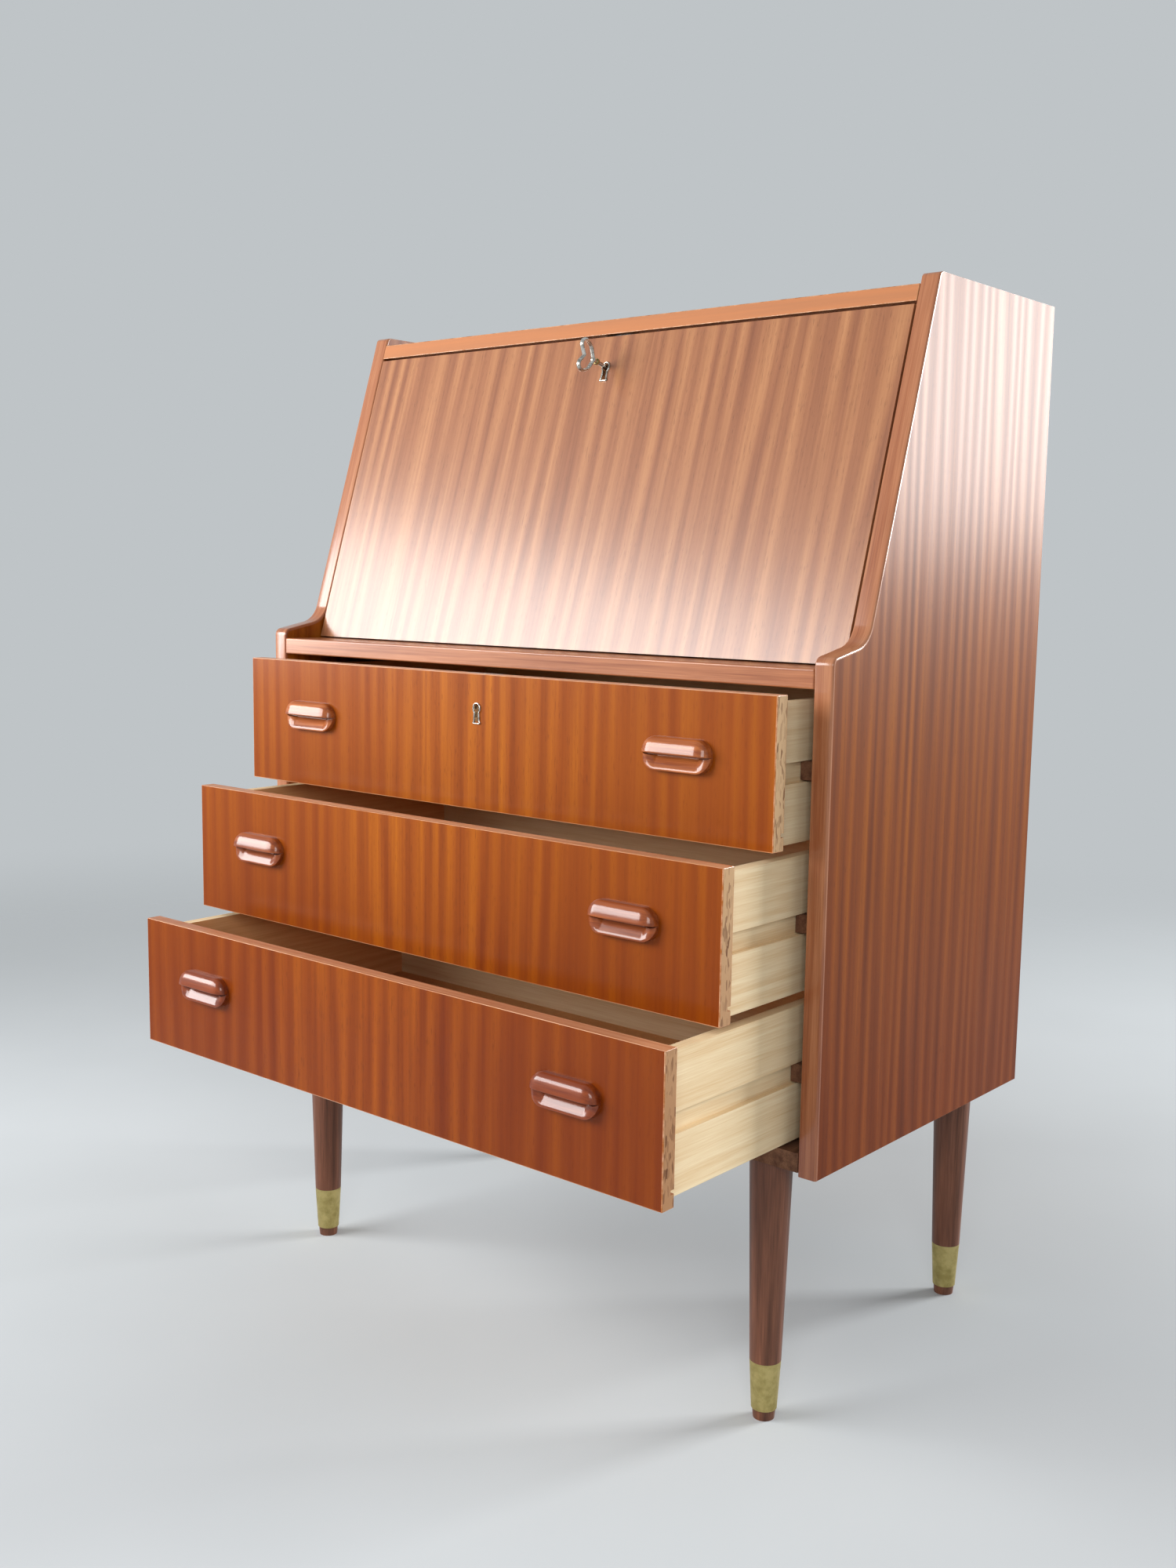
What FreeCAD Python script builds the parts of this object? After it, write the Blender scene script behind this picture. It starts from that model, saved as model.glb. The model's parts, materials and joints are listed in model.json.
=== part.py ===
import FreeCAD, Part
import math
import operator
import os
from types import SimpleNamespace

import Sketcher
from FreeCAD import Placement, Rotation, Vector

# Escritoire: a writing desk with a sloping fall front above three drawers, on four turned legs.
# Frame: +X to the right, the front faces -Y, +Z up, floor at z = 0, with the origin under the
# middle of the piece as it stands, drawers drawn out. Lengths in millimetres.

SIZES = {
    # Carcass
    "carcass_width": 750.0,
    "carcass_depth": 400.0,
    "overall_height": 1064.0,
    "side_bottom": 254.0,
    "side_thickness": 19.0,
    "lipping_thickness": 3.0,
    "bottom_lift": 3.5,
    "bottom_thickness": 18.0,
    "top_drop": 9.4,
    "top_thickness": 16.0,
    "rail_thickness": 17.7,
    "rail_depth": 92.0,
    "bed_thickness": 16.0,
    "back_thickness": 4.0,
    "back_rebate": 8.0,
    "back_play": 0.3,
    # Outline of the sides
    "slant_degrees": 17.05,
    "ledge_depth": 50.4,
    "shoulder_above_rail": 9.6,
    "shoulder_degrees": 11.5,
    "shoulder_hollow": 28.0,
    "nose_radius": 8.0,
    "crown_radius": 6.0,
    # Fall front
    "flap_thickness": 16.0,
    "flap_side_gap": 1.5,
    "flap_top_gap": 2.8,
    "flap_seat_gap": 0.3,
    "flap_bed_gap": 0.7,
    "flap_foot": 4.5,
    "flap_arris": 3.4,
    "pivot_radius": 2.5,
    "pivot_in_flap": 40.0,
    "pivot_in_side": 11.0,
    "pivot_end_gap": 0.5,
    "running_gap": 0.05,
    "snug_gap": 0.05,
    "stop_height": 14.0,
    "stop_depth": 12.0,
    # Pigeonholes behind the fall front
    "shelf_thickness": 10.0,
    "shelf_setback": 22.0,
    "shelf_level_share": 0.52,
    "divider_thickness": 8.0,
    # Drawers
    "front_height": 135.0,
    "front_thickness": 16.0,
    "front_gap": 3.0,
    "front_side_gap": 3.5,
    "top_opening": 50.0,
    "middle_opening": 122.0,
    "bottom_opening": 195.0,
    "drawer_side_inset": 12.5,
    "drawer_side_thickness": 12.0,
    "drawer_side_drop": 8.0,
    "drawer_side_lift": 1.0,
    "drawer_housing": 6.0,
    "drawer_rear_space": 30.0,
    "drawer_back_thickness": 10.0,
    "drawer_back_inset": 6.0,
    "drawer_back_drop": 8.0,
    "drawer_bottom_level": 12.0,
    "drawer_bottom_thickness": 4.0,
    "drawer_bottom_groove": 5.0,
    "runner_groove_height": 19.0,
    "runner_groove_depth": 6.0,
    "runner_height": 17.0,
    "runner_lift_gap": 0.3,
    "runner_side_gap": 1.0,
    "runner_stop_gap": 0.5,
    "runner_housing": 4.0,
    # Handles
    "handle_width": 75.4,
    "handle_height": 30.6,
    "handle_projection": 13.0,
    "handle_round": 7.6,
    "handle_corner_share": 0.48,
    "handle_from_end": 103.0,
    "handle_below_top": 58.6,
    "handle_rim_projection": 6.5,
    "handle_rim_width": 2.5,
    "handle_floor": 3.0,
    "handle_lip_level": 0.5,
    "handle_lip_overhang": 2.0,
    "handle_undercut": 3.5,
    "handle_hollow_radius": 2.0,
    "handle_tenon_width": 40.0,
    "handle_tenon_height": 8.0,
    "handle_tenon_length": 8.0,
    "handle_tenon_rise": 6.0,
    # Locks and key
    "lock_backset": 33.8,
    "lock_width": 46.0,
    "lock_thickness": 9.0,
    "lock_wall": 1.5,
    "lock_below_key": 17.0,
    "lock_slide_gap": 0.3,
    "bolt_width": 24.0,
    "bolt_thickness": 4.0,
    "bolt_above_key": 8.5,
    "bolt_travel": 11.0,
    "bolt_slot_gap": 1.5,
    "strike_length": 44.0,
    "strike_width": 15.0,
    "strike_thickness": 1.2,
    "keyhole_radius": 3.6,
    "keyhole_slot": 4.6,
    "keyhole_drop": 13.4,
    "escutcheon_height": 22.0,
    "escutcheon_head": 10.0,
    "escutcheon_base": 13.0,
    "escutcheon_thickness": 1.6,
    "escutcheon_drop": 5.2,
    "escutcheon_corner": 1.2,
    "escutcheon_head_share": 0.47,
    "key_radius": 2.2,
    "key_reach": 26.0,
    "key_depth": 14.0,
    "key_collar_radius": 3.4,
    "key_collar_length": 3.0,
    "key_collar_reach": 18.0,
    "key_ring_radius": 9.2,
    "key_ring_wire": 1.2,
    "key_bit_reach": 7.4,
    "key_bit_width": 2.0,
    "key_bit_length": 4.0,
    # Legs
    "leg_inset_side": 61.4,
    "leg_inset_end": 22.0,
    "leg_top_radius": 20.5,
    "ferrule_top": 58.0,
    "ferrule_bottom": 10.0,
    "ferrule_top_radius": 15.0,
    "ferrule_bottom_radius": 12.2,
    "ferrule_wall": 1.0,
    "foot_radius": 10.2,
    "leg_tenon_radius": 10.0,
    "leg_tenon_length": 14.0,
    # Every cut runs past the piece by this much
    "overrun": 2.0,
}

DIVIDER_COUNT = 3
FULL_TURN_DEGREES = 360
QUARTER_TURN_DEGREES = 90
HALF = 0.5

doc = FreeCAD.newDocument("escritoire")
sheet = doc.addObject("Spreadsheet::Sheet", "Sizes")
for row, (size_name, number) in enumerate(SIZES.items(), start=1):
    sheet.set(f"A{row}", size_name)
    sheet.set(f"B{row}", str(number))
    sheet.setAlias(f"B{row}", size_name)
doc.recompute()


class Size:
    """A number together with the formula on the sheet that gives it."""

    def __init__(self, number, text):
        self.number = number
        self.text = text

    def joined(self, sign, work, other):
        other = sized(other)
        return Size(work(self.number, other.number), f"({self.text} {sign} {other.text})")

    def __add__(self, other):
        return self.joined("+", operator.add, other)

    def __radd__(self, other):
        return sized(other) + self

    def __sub__(self, other):
        return self.joined("-", operator.sub, other)

    def __rsub__(self, other):
        return sized(other) - self

    def __mul__(self, other):
        return self.joined("*", operator.mul, other)

    def __rmul__(self, other):
        return sized(other) * self

    def __truediv__(self, other):
        return self.joined("/", operator.truediv, other)

    def __rtruediv__(self, other):
        return sized(other) / self

    def __neg__(self):
        return 0 - self


def sized(value):
    """Return a plain count or share as a Size, and a Size as it is."""
    return value if isinstance(value, Size) else Size(value, str(value))


def sine(degrees):
    return Size(math.sin(math.radians(degrees.number)), f"sin({degrees.text} * 1 deg)")


def cosine(degrees):
    return Size(math.cos(math.radians(degrees.number)), f"cos({degrees.text} * 1 deg)")


def tangent(degrees):
    return sine(degrees) / cosine(degrees)


def bind(item, path, size):
    """Tie one property of a document object to a formula on the sheet."""
    item.setExpression(path, sized(size).text)


S = SimpleNamespace(**{name: Size(number, f"Sizes.{name}") for name, number in SIZES.items()})

nodes = []


def node(label, item):
    """Keep a finished sub-part under its own name."""
    item.Label = label
    nodes.append(item)
    return item


# Solids from which the pieces are made

def move(item, x=0, y=0, z=0):
    """Tie the place of an object to the sheet."""
    for axis, size in zip("xyz", (x, y, z)):
        bind(item, f"Placement.Base.{axis}", size)
    return item


def box(name, x, y, z):
    """Make a box from its low and high sides along each axis."""
    block = doc.addObject("Part::Box", name)
    for edge, (low, high) in zip(("Length", "Width", "Height"), (x, y, z)):
        bind(block, edge, high - low)
    return move(block, x[0], y[0], z[0])


UPRIGHT = {
    "x": Rotation(Vector(0, 1, 0), QUARTER_TURN_DEGREES),
    "y": Rotation(Vector(-1, 0, 0), QUARTER_TURN_DEGREES),
    "z": Rotation(),
    "-x": Rotation(Vector(0, -1, 0), QUARTER_TURN_DEGREES),
}


def rod(name, radius, length, along, at):
    """Make a round rod that starts at a point and runs along an axis."""
    cylinder = doc.addObject("Part::Cylinder", name)
    cylinder.Placement = Placement(Vector(), UPRIGHT[along])
    bind(cylinder, "Radius", radius)
    bind(cylinder, "Height", length)
    return move(cylinder, *at)


def corner_arc(before, corner, after, radius):
    """Return where the rounding of a corner starts, ends and has its centre."""
    back = (before - corner).normalize()
    ahead = (after - corner).normalize()
    half_angle = back.getAngle(ahead) * HALF
    reach = radius / math.tan(half_angle)
    centre = corner + (back + ahead).normalize() * (radius / math.sin(half_angle))
    return corner + back * reach, corner + ahead * reach, centre


def draw(sketch, corners):
    """Draw a closed outline of (u, v) or (u, v, radius) corners and tie it to the sheet."""
    points = [Vector(sized(corner[0]).number, sized(corner[1]).number) for corner in corners]
    radii = [corner[2] if len(corner) > 2 else None for corner in corners]
    count = len(points)
    rounds = {}
    for index, radius in enumerate(radii):
        if radius is not None:
            before, after = points[index - 1], points[(index + 1) % count]
            rounds[index] = corner_arc(before, points[index], after, sized(radius).number)
    sides = []
    for index in range(count):
        following = (index + 1) % count
        start = rounds[index][1] if index in rounds else points[index]
        end = rounds[following][0] if following in rounds else points[following]
        sides.append(sketch.addGeometry(Part.LineSegment(start, end)))

    def fix(geometry, corner):
        """Hold one point of the sketch at the corner's two formulas."""
        for kind, size in zip(("DistanceX", "DistanceY"), corner):
            size = sized(size)
            held = sketch.addConstraint(Sketcher.Constraint(kind, -1, 1, geometry, 1, size.number))
            bind(sketch, f"Constraints[{held}]", size)

    for index, corner in enumerate(corners):
        arriving, leaving = sides[index - 1], sides[index]
        if index not in rounds:
            sketch.addConstraint(Sketcher.Constraint("Coincident", arriving, 2, leaving, 1))
            fix(leaving, corner)
            continue
        first, last, centre = rounds[index]
        circle = Part.Circle(centre, Vector(0, 0, 1), sized(radii[index]).number)
        turns_left = (first - centre).cross(last - centre).z > 0
        ends = (first, last) if turns_left else (last, first)
        angles = [math.atan2(end.y - centre.y, end.x - centre.x) for end in ends]
        arc = sketch.addGeometry(Part.ArcOfCircle(circle, *angles))
        arc_first, arc_last = (1, 2) if turns_left else (2, 1)
        tip = sketch.addGeometry(Part.Point(points[index]), True)
        fix(tip, corner)
        sketch.addConstraint(Sketcher.Constraint("PointOnObject", tip, 1, arriving))
        sketch.addConstraint(Sketcher.Constraint("PointOnObject", tip, 1, leaving))
        sketch.addConstraint(Sketcher.Constraint("Tangent", arriving, 2, arc, arc_first))
        sketch.addConstraint(Sketcher.Constraint("Tangent", leaving, 1, arc, arc_last))
        held = sketch.addConstraint(Sketcher.Constraint("Radius", arc, sized(radii[index]).number))
        bind(sketch, f"Constraints[{held}]", radii[index])


def sketched_body(name, plane_role, corners):
    """Start a body with one outline on one of its own origin planes."""
    body = doc.addObject("PartDesign::Body", name)
    sketch = body.newObject("Sketcher::SketchObject", f"{name}_outline")
    plane = next(item for item in body.Origin.OriginFeatures if item.Role == plane_role)
    sketch.AttachmentSupport = [(plane, "")]
    sketch.MapMode = "FlatFace"
    draw(sketch, corners)
    return body, sketch


def prism(name, along, corners, low, high):
    """Pad an outline from low to high: (y, z) along x, (x, z) along y, (x, y) along z."""
    role = {"x": "YZ_Plane", "y": "XZ_Plane", "z": "XY_Plane"}[along]
    body, sketch = sketched_body(name, role, corners)
    pad = body.newObject("PartDesign::Pad", f"{name}_pad")
    pad.Profile = sketch
    bind(pad, "Length", high - low)
    body.Tip = pad
    # The pad of an x, z outline grows towards -y.
    bind(body, f"Placement.Base.{along}", high if along == "y" else low)
    return body


def turned(name, corners, at):
    """Turn an outline of (radius, height) corners about an upright axis through a point."""
    body, sketch = sketched_body(name, "XZ_Plane", corners)
    spin = body.newObject("PartDesign::Revolution", f"{name}_turning")
    spin.Profile = sketch
    spin.ReferenceAxis = (sketch, ["V_Axis"])
    spin.Angle = FULL_TURN_DEGREES
    body.Tip = spin
    return move(body, *at)


def fused(name, *pieces):
    """Join overlapping solids into one."""
    union = doc.addObject("Part::MultiFuse", name)
    union.Shapes = list(pieces)
    union.Refine = True
    return union


def common(name, first, second):
    """Keep what two solids share."""
    shared = doc.addObject("Part::MultiCommon", name)
    shared.Shapes = [first, second]
    return shared


def cut(name, base, *tools):
    """Take tools out of a solid."""
    result = doc.addObject("Part::Cut", name)
    result.Base = base
    result.Tool = tools[0] if len(tools) == 1 else fused(f"{name}_tools", *tools)
    return result


def group(name, *pieces):
    """Hold several like solids in one sub-part."""
    compound = doc.addObject("Part::Compound", name)
    compound.Links = list(pieces)
    return compound


# Levels and planes that several pieces share

front = (S.bottom_opening + S.handle_projection - S.carcass_depth) * HALF
back = front + S.carcass_depth
board_back = back - S.back_thickness
inner = S.carcass_width * HALF - S.side_thickness

base_low = S.side_bottom + S.bottom_lift
base_high = base_low + S.bottom_thickness
front_pitch = S.front_height + S.front_gap
rail_low = base_high + S.front_gap + 3 * front_pitch
rail_high = rail_low + S.rail_thickness
bed_high = rail_high + S.bed_thickness
side_top = S.overall_height
top_high = side_top - S.top_drop
top_low = top_high - S.top_thickness

slope = tangent(S.slant_degrees)
slant_cos = cosine(S.slant_degrees)
slant_sin = sine(S.slant_degrees)


def slant(z, behind=0):
    """Return y on the plane of the fall front's face, or on one that lies behind it."""
    return front + S.ledge_depth + (z - rail_high) * slope + behind / slant_cos


pivot_z = rail_high + S.flap_seat_gap + S.flap_thickness * HALF
pivot_y = slant(pivot_z, S.flap_thickness * HALF)
flap_top = top_low - S.flap_top_gap
flap_reach = (flap_top - pivot_z - S.flap_thickness * HALF * slant_sin) / slant_cos
flap_half = inner - S.flap_side_gap

front_levels = {
    "bottom_drawer": base_high + S.front_gap,
    "middle_drawer": base_high + S.front_gap + front_pitch,
    "top_drawer": base_high + S.front_gap + 2 * front_pitch,
}
openings = {
    "bottom_drawer": S.bottom_opening,
    "middle_drawer": S.middle_opening,
    "top_drawer": S.top_opening,
}
drawer_side_outer = inner - S.front_side_gap - S.drawer_side_inset
drawer_side_inner = drawer_side_outer - S.drawer_side_thickness
drawer_side_height = S.front_height - S.drawer_side_drop - S.drawer_side_lift
drawer_length = S.carcass_depth - S.back_thickness - S.drawer_rear_space
groove_high = S.drawer_side_lift + (drawer_side_height + S.runner_groove_height) * HALF
groove_low = groove_high - S.runner_groove_height


def mirrored(side, low, high):
    """Return the low and high x of a piece on one side of the middle."""
    return (low, high) if side == "right" else (-high, -low)


def sign(side):
    return 1 if side == "right" else -1


# Sides: a shaped board with a solid lipping along its front edge

def side_outline(depth):
    """Return the outline of a side from its foot up, its front edge set back by a depth."""
    shoulder = tangent(S.shoulder_degrees)
    edge = front + depth
    shoulder_z = rail_high + S.shoulder_above_rail - depth / cosine(S.shoulder_degrees)
    slant_y = slant(rail_high, depth)
    hollow_z = (shoulder_z + (slant_y - front - rail_high * slope) * shoulder) / (1 - slope * shoulder)
    hollow_y = slant(hollow_z, depth)
    return [
        (back, S.side_bottom),
        (back, side_top),
        (slant(side_top, depth), side_top, S.crown_radius),
        (hollow_y, hollow_z, S.shoulder_hollow + depth),
        (edge, shoulder_z + (edge - front) * shoulder, S.nose_radius - depth),
        (edge, S.side_bottom),
    ]


runner_depth = inner - drawer_side_outer + S.runner_groove_depth - S.runner_side_gap
runner_y = (front + S.front_thickness + S.runner_stop_gap, front + drawer_length)


def runner_z(level):
    """Return the low and high sides of a runner in a drawer whose front stands at a level."""
    high = level + groove_high - S.runner_lift_gap
    return high - S.runner_height, high


def make_side(side):
    """Make one side with its lipping, back rebate, pivot bore and housings for the runners."""
    x = mirrored(side, inner, inner + S.side_thickness)
    blank = prism(f"side_{side}_blank", "x", side_outline(0), *x)
    core = prism(f"side_{side}_core", "x", side_outline(S.lipping_thickness), *x)
    node(f"side_lipping_{side}", cut(f"side_lipping_{side}", blank, core))
    rebate = box(
        f"side_{side}_rebate",
        mirrored(side, inner - S.overrun, inner + S.back_rebate),
        (board_back, back + S.overrun),
        (base_low - S.back_play, top_high + S.back_play),
    )
    pivot_bore = rod(
        f"side_{side}_pivot_bore",
        S.pivot_radius + S.running_gap,
        S.pivot_in_side + S.pivot_end_gap + S.overrun,
        "x" if side == "right" else "-x",
        (sign(side) * (inner - S.overrun), pivot_y, pivot_z),
    )
    housings = []
    for drawer, level in front_levels.items():
        housings.append(box(
            f"side_{side}_{drawer}_housing",
            mirrored(side, inner - S.overrun, inner + S.runner_housing),
            runner_y,
            runner_z(level),
        ))
    whole = common(f"side_{side}_board", blank, core)
    node(f"side_panel_{side}", cut(f"side_panel_{side}", whole, rebate, pivot_bore, *housings))


for side in ("left", "right"):
    make_side(side)


# Drawer runners, let into the sides

for drawer, level in front_levels.items():
    strips = []
    for side in ("left", "right"):
        strip_x = mirrored(side, inner - runner_depth, inner + S.runner_housing)
        strips.append(box(f"{drawer}_runner_{side}", strip_x, runner_y, runner_z(level)))
    node(f"{drawer}_runners", group(f"{drawer}_runners", *strips))


# Locks: one in the fall front and one in the top drawer, worked by the same key

def keyhole(name, y_low, y_high, z):
    """Make the cutter for a keyhole: a round with a slot below it."""
    eye = rod(f"{name}_eye", S.keyhole_radius, y_high - y_low, "y", (0, y_low, z))
    slot = box(
        f"{name}_slot",
        (-S.keyhole_slot * HALF, S.keyhole_slot * HALF),
        (y_low, y_high),
        (z - S.keyhole_drop, z),
    )
    return fused(name, eye, slot)


def lock(name, face, inside, key_z, edge):
    """Make a lock let into the inside of a board: its case, its bolt and the cutters for the board."""
    case_y = (inside - S.lock_thickness, inside)
    case_z = (key_z - S.lock_below_key, edge)
    bolt_y = inside - S.lock_thickness * HALF
    bolt_low = key_z + S.bolt_above_key
    case = box(f"{name}_case_block", (-S.lock_width * HALF, S.lock_width * HALF), case_y, case_z)
    half_width = S.bolt_width * HALF + S.lock_slide_gap
    half_thick = S.bolt_thickness * HALF + S.lock_slide_gap
    channel = box(
        f"{name}_channel",
        (-half_width, half_width),
        (bolt_y - half_thick, bolt_y + half_thick),
        (bolt_low - S.lock_slide_gap, edge + S.overrun),
    )
    chamber = rod(
        f"{name}_chamber",
        S.bolt_above_key,
        S.lock_thickness - 2 * S.lock_wall,
        "y",
        (0, inside - S.lock_thickness + S.lock_wall, key_z),
    )
    wall_hole = keyhole(f"{name}_wall_hole", case_y[0] - S.overrun, case_y[0] + S.overrun, key_z)
    board_hole = keyhole(f"{name}_board_hole", face - S.overrun, case_y[0] + S.overrun, key_z)
    mortise = box(
        f"{name}_mortise",
        (-S.lock_width * HALF, S.lock_width * HALF),
        (case_y[0], inside + S.overrun),
        (case_z[0], edge + S.overrun),
    )
    bolt = box(
        f"{name}_tongue",
        (-S.bolt_width * HALF, S.bolt_width * HALF),
        (bolt_y - S.bolt_thickness * HALF, bolt_y + S.bolt_thickness * HALF),
        (bolt_low, edge),
    )
    return cut(f"{name}_case", case, channel, chamber, wall_hole), bolt, (mortise, board_hole)


def escutcheon(name, face, key_z):
    """Make a keyhole rim that stands on the face of a board."""
    middle = key_z - S.escutcheon_drop
    low = middle - S.escutcheon_height * HALF
    high = middle + S.escutcheon_height * HALF
    head = S.escutcheon_head * HALF
    base = S.escutcheon_base * HALF
    head_round = S.escutcheon_head * S.escutcheon_head_share
    outline = [
        (-base, low, S.escutcheon_corner),
        (base, low, S.escutcheon_corner),
        (head, high, head_round),
        (-head, high, head_round),
    ]
    plate = prism(f"{name}_plate", "y", outline, face - S.escutcheon_thickness, face)
    opening = keyhole(f"{name}_opening", face - S.escutcheon_thickness - S.overrun, face + S.overrun, key_z)
    return cut(name, plate, opening)


def strike(name, bolt_y, under):
    """Make a strike plate let into the underside of a board, with the cutters for the board."""
    half_slot = S.bolt_width * HALF + S.bolt_slot_gap
    half_width = S.bolt_thickness * HALF + S.bolt_slot_gap
    slot_x = (-half_slot, half_slot)
    slot_y = (bolt_y - half_width, bolt_y + half_width)
    plate_x = (-S.strike_length * HALF, S.strike_length * HALF)
    plate_y = (bolt_y - S.strike_width * HALF, bolt_y + S.strike_width * HALF)
    plate = box(f"{name}_blank", plate_x, plate_y, (under, under + S.strike_thickness))
    slot = box(f"{name}_slot", slot_x, slot_y, (under - S.overrun, under + S.strike_thickness + S.overrun))
    seat = box(f"{name}_seat", plate_x, plate_y, (under - S.overrun, under + S.strike_thickness))
    mortise = box(f"{name}_mortise", slot_x, slot_y, (under - S.overrun, under + S.bolt_travel))
    return cut(name, plate, slot), (seat, mortise)


# Fall front, built upright about its pivots and then leant back

def on_flap(item):
    """Lean an upright piece back with the fall front and set it on the pivots."""
    item.Placement = Placement(Vector(), Rotation(Vector(-1, 0, 0), SIZES["slant_degrees"]))
    bind(item, "Placement.Rotation.Angle", S.slant_degrees)
    return move(item, 0, pivot_y, pivot_z)


flap_face = -S.flap_thickness * HALF
flap_inside = S.flap_thickness * HALF
flap_key_z = flap_reach - S.lock_backset
flap_section = [
    (flap_face, -S.flap_foot, S.flap_arris),
    (flap_inside, -S.flap_foot, S.flap_arris),
    (flap_inside, flap_reach),
    (flap_face, flap_reach),
]
flap_blank = prism("flap_blank", "x", flap_section, -flap_half, flap_half)
flap_case, flap_bolt, flap_cuts = lock("flap_lock", flap_face, flap_inside, flap_key_z, flap_reach)
pivot_holes = []
pivot_pins = []
for side in ("left", "right"):
    inward = "-x" if side == "right" else "x"
    end_x = sign(side) * (inner + S.pivot_in_side)
    hole_length = S.pivot_in_side + S.flap_side_gap + S.pivot_in_flap
    pivot_pins.append(rod(f"pivot_pin_{side}", S.pivot_radius, hole_length, inward, (end_x, 0, 0)))
    hole_radius = S.pivot_radius + S.snug_gap
    pivot_holes.append(rod(f"pivot_hole_{side}", hole_radius, hole_length + S.snug_gap, inward, (end_x, 0, 0)))
node("flap_panel", on_flap(cut("flap_panel", flap_blank, *flap_cuts, *pivot_holes)))
node("flap_pivot_pins", on_flap(group("flap_pivot_pins", *pivot_pins)))
node("flap_lock_case", on_flap(flap_case))
node("flap_lock_bolt", on_flap(group("flap_lock_bolt", flap_bolt)))
node("flap_escutcheon", on_flap(escutcheon("flap_escutcheon", flap_face, flap_key_z)))

# Key: a stem with a collar, a bit inside the lock and a flat bow with two eyes
stem_out = flap_face - S.key_reach
bow_x = (-S.key_ring_wire, S.key_ring_wire)
bow_y = stem_out - S.key_ring_radius + S.key_ring_wire
discs = []
eyes = []
for number, rise in enumerate((S.key_ring_radius, -S.key_ring_radius)):
    disc_at = (bow_x[0], bow_y, flap_key_z + rise)
    disc_radius = S.key_ring_radius + S.key_ring_wire
    discs.append(rod(f"key_disc_{number}", disc_radius, bow_x[1] - bow_x[0], "x", disc_at))
    eye_at = (bow_x[0] - S.overrun, bow_y, flap_key_z + rise)
    eye_radius = S.key_ring_radius - S.key_ring_wire
    eyes.append(rod(f"key_eye_{number}", eye_radius, bow_x[1] - bow_x[0] + 2 * S.overrun, "x", eye_at))
bow = cut("key_bow", fused("key_bow_blank", *discs), *eyes)
stem = rod(
    "key_stem",
    S.key_radius,
    flap_face + S.key_depth - bow_y,
    "y",
    (0, bow_y, flap_key_z),
)
collar = rod(
    "key_collar",
    S.key_collar_radius,
    S.key_collar_length,
    "y",
    (0, flap_face - S.key_collar_reach, flap_key_z),
)
bit = box(
    "key_bit",
    (-S.key_bit_width * HALF, S.key_bit_width * HALF),
    (flap_face + S.key_depth - S.key_bit_length, flap_face + S.key_depth),
    (flap_key_z - S.key_bit_reach, flap_key_z),
)
node("flap_key", on_flap(fused("flap_key", bow, stem, collar, bit)))


# Boards between the sides

between = (-inner, inner)
bolt_out = flap_inside - S.lock_thickness * HALF
bolt_climb = (top_low - pivot_z + bolt_out * slant_sin) / slant_cos
strike_y = pivot_y + bolt_out * slant_cos + bolt_climb * slant_sin
flap_strike, top_cuts = strike("flap_strike_plate", strike_y, top_low)
node("flap_strike_plate", flap_strike)
top_section = [
    (slant(top_low), top_low),
    (board_back, top_low),
    (board_back, top_high),
    (slant(top_high), top_high),
]
node("top_board", cut("top_board", prism("top_board_blank", "x", top_section, *between), *top_cuts))

drawer_bolt_y = front + S.front_thickness - S.lock_thickness * HALF
drawer_strike, rail_cuts = strike("drawer_strike_plate", drawer_bolt_y, rail_low)
node("drawer_strike_plate", drawer_strike)
rail_blank = box("front_rail_blank", between, (front, front + S.rail_depth), (rail_low, rail_high))
node("front_rail", cut("front_rail", rail_blank, *rail_cuts))

bed_front = slant(bed_high, S.flap_thickness) + S.flap_bed_gap
node("desk_bed", box("desk_bed", between, (bed_front, board_back), (rail_high, bed_high)))

back_half = inner + S.back_rebate - S.back_play
node("back_panel", box("back_panel", (-back_half, back_half), (board_back, back), (base_low, top_high)))

stop_low = top_low - S.stop_height
stop_behind = S.flap_thickness + S.flap_seat_gap
stop_section = [
    (slant(stop_low, stop_behind), stop_low),
    (slant(stop_low, stop_behind) + S.stop_depth, stop_low),
    (slant(top_low, stop_behind) + S.stop_depth, top_low),
    (slant(top_low, stop_behind), top_low),
]
strike_room = box(
    "flap_stop_notch",
    (-S.strike_length * HALF, S.strike_length * HALF),
    (slant(stop_low), strike_y + S.strike_width),
    (top_low - S.bolt_travel, top_low + S.overrun),
)
node("flap_stop", cut("flap_stop", prism("flap_stop_blank", "x", stop_section, *between), strike_room))

shelf_low = bed_high + (top_low - bed_high) * S.shelf_level_share
shelf_high = shelf_low + S.shelf_thickness
shelf_front = slant(shelf_high, S.flap_thickness) + S.shelf_setback
node("pigeonhole_shelf", box("pigeonhole_shelf", between, (shelf_front, board_back), (shelf_low, shelf_high)))

dividers = []
divider_front = slant(top_low, stop_behind) + S.stop_depth + S.shelf_setback
for number in range(1, DIVIDER_COUNT + 1):
    middle = -inner + 2 * inner * number / (DIVIDER_COUNT + 1)
    dividers.append(box(
        f"divider_{number}",
        (middle - S.divider_thickness * HALF, middle + S.divider_thickness * HALF),
        (divider_front, board_back),
        (shelf_high, top_low),
    ))
node("pigeonhole_dividers", group("pigeonhole_dividers", *dividers))


# Legs: turned and tapered, each with a brass ferrule at its foot and a round tenon in the bottom board

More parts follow.
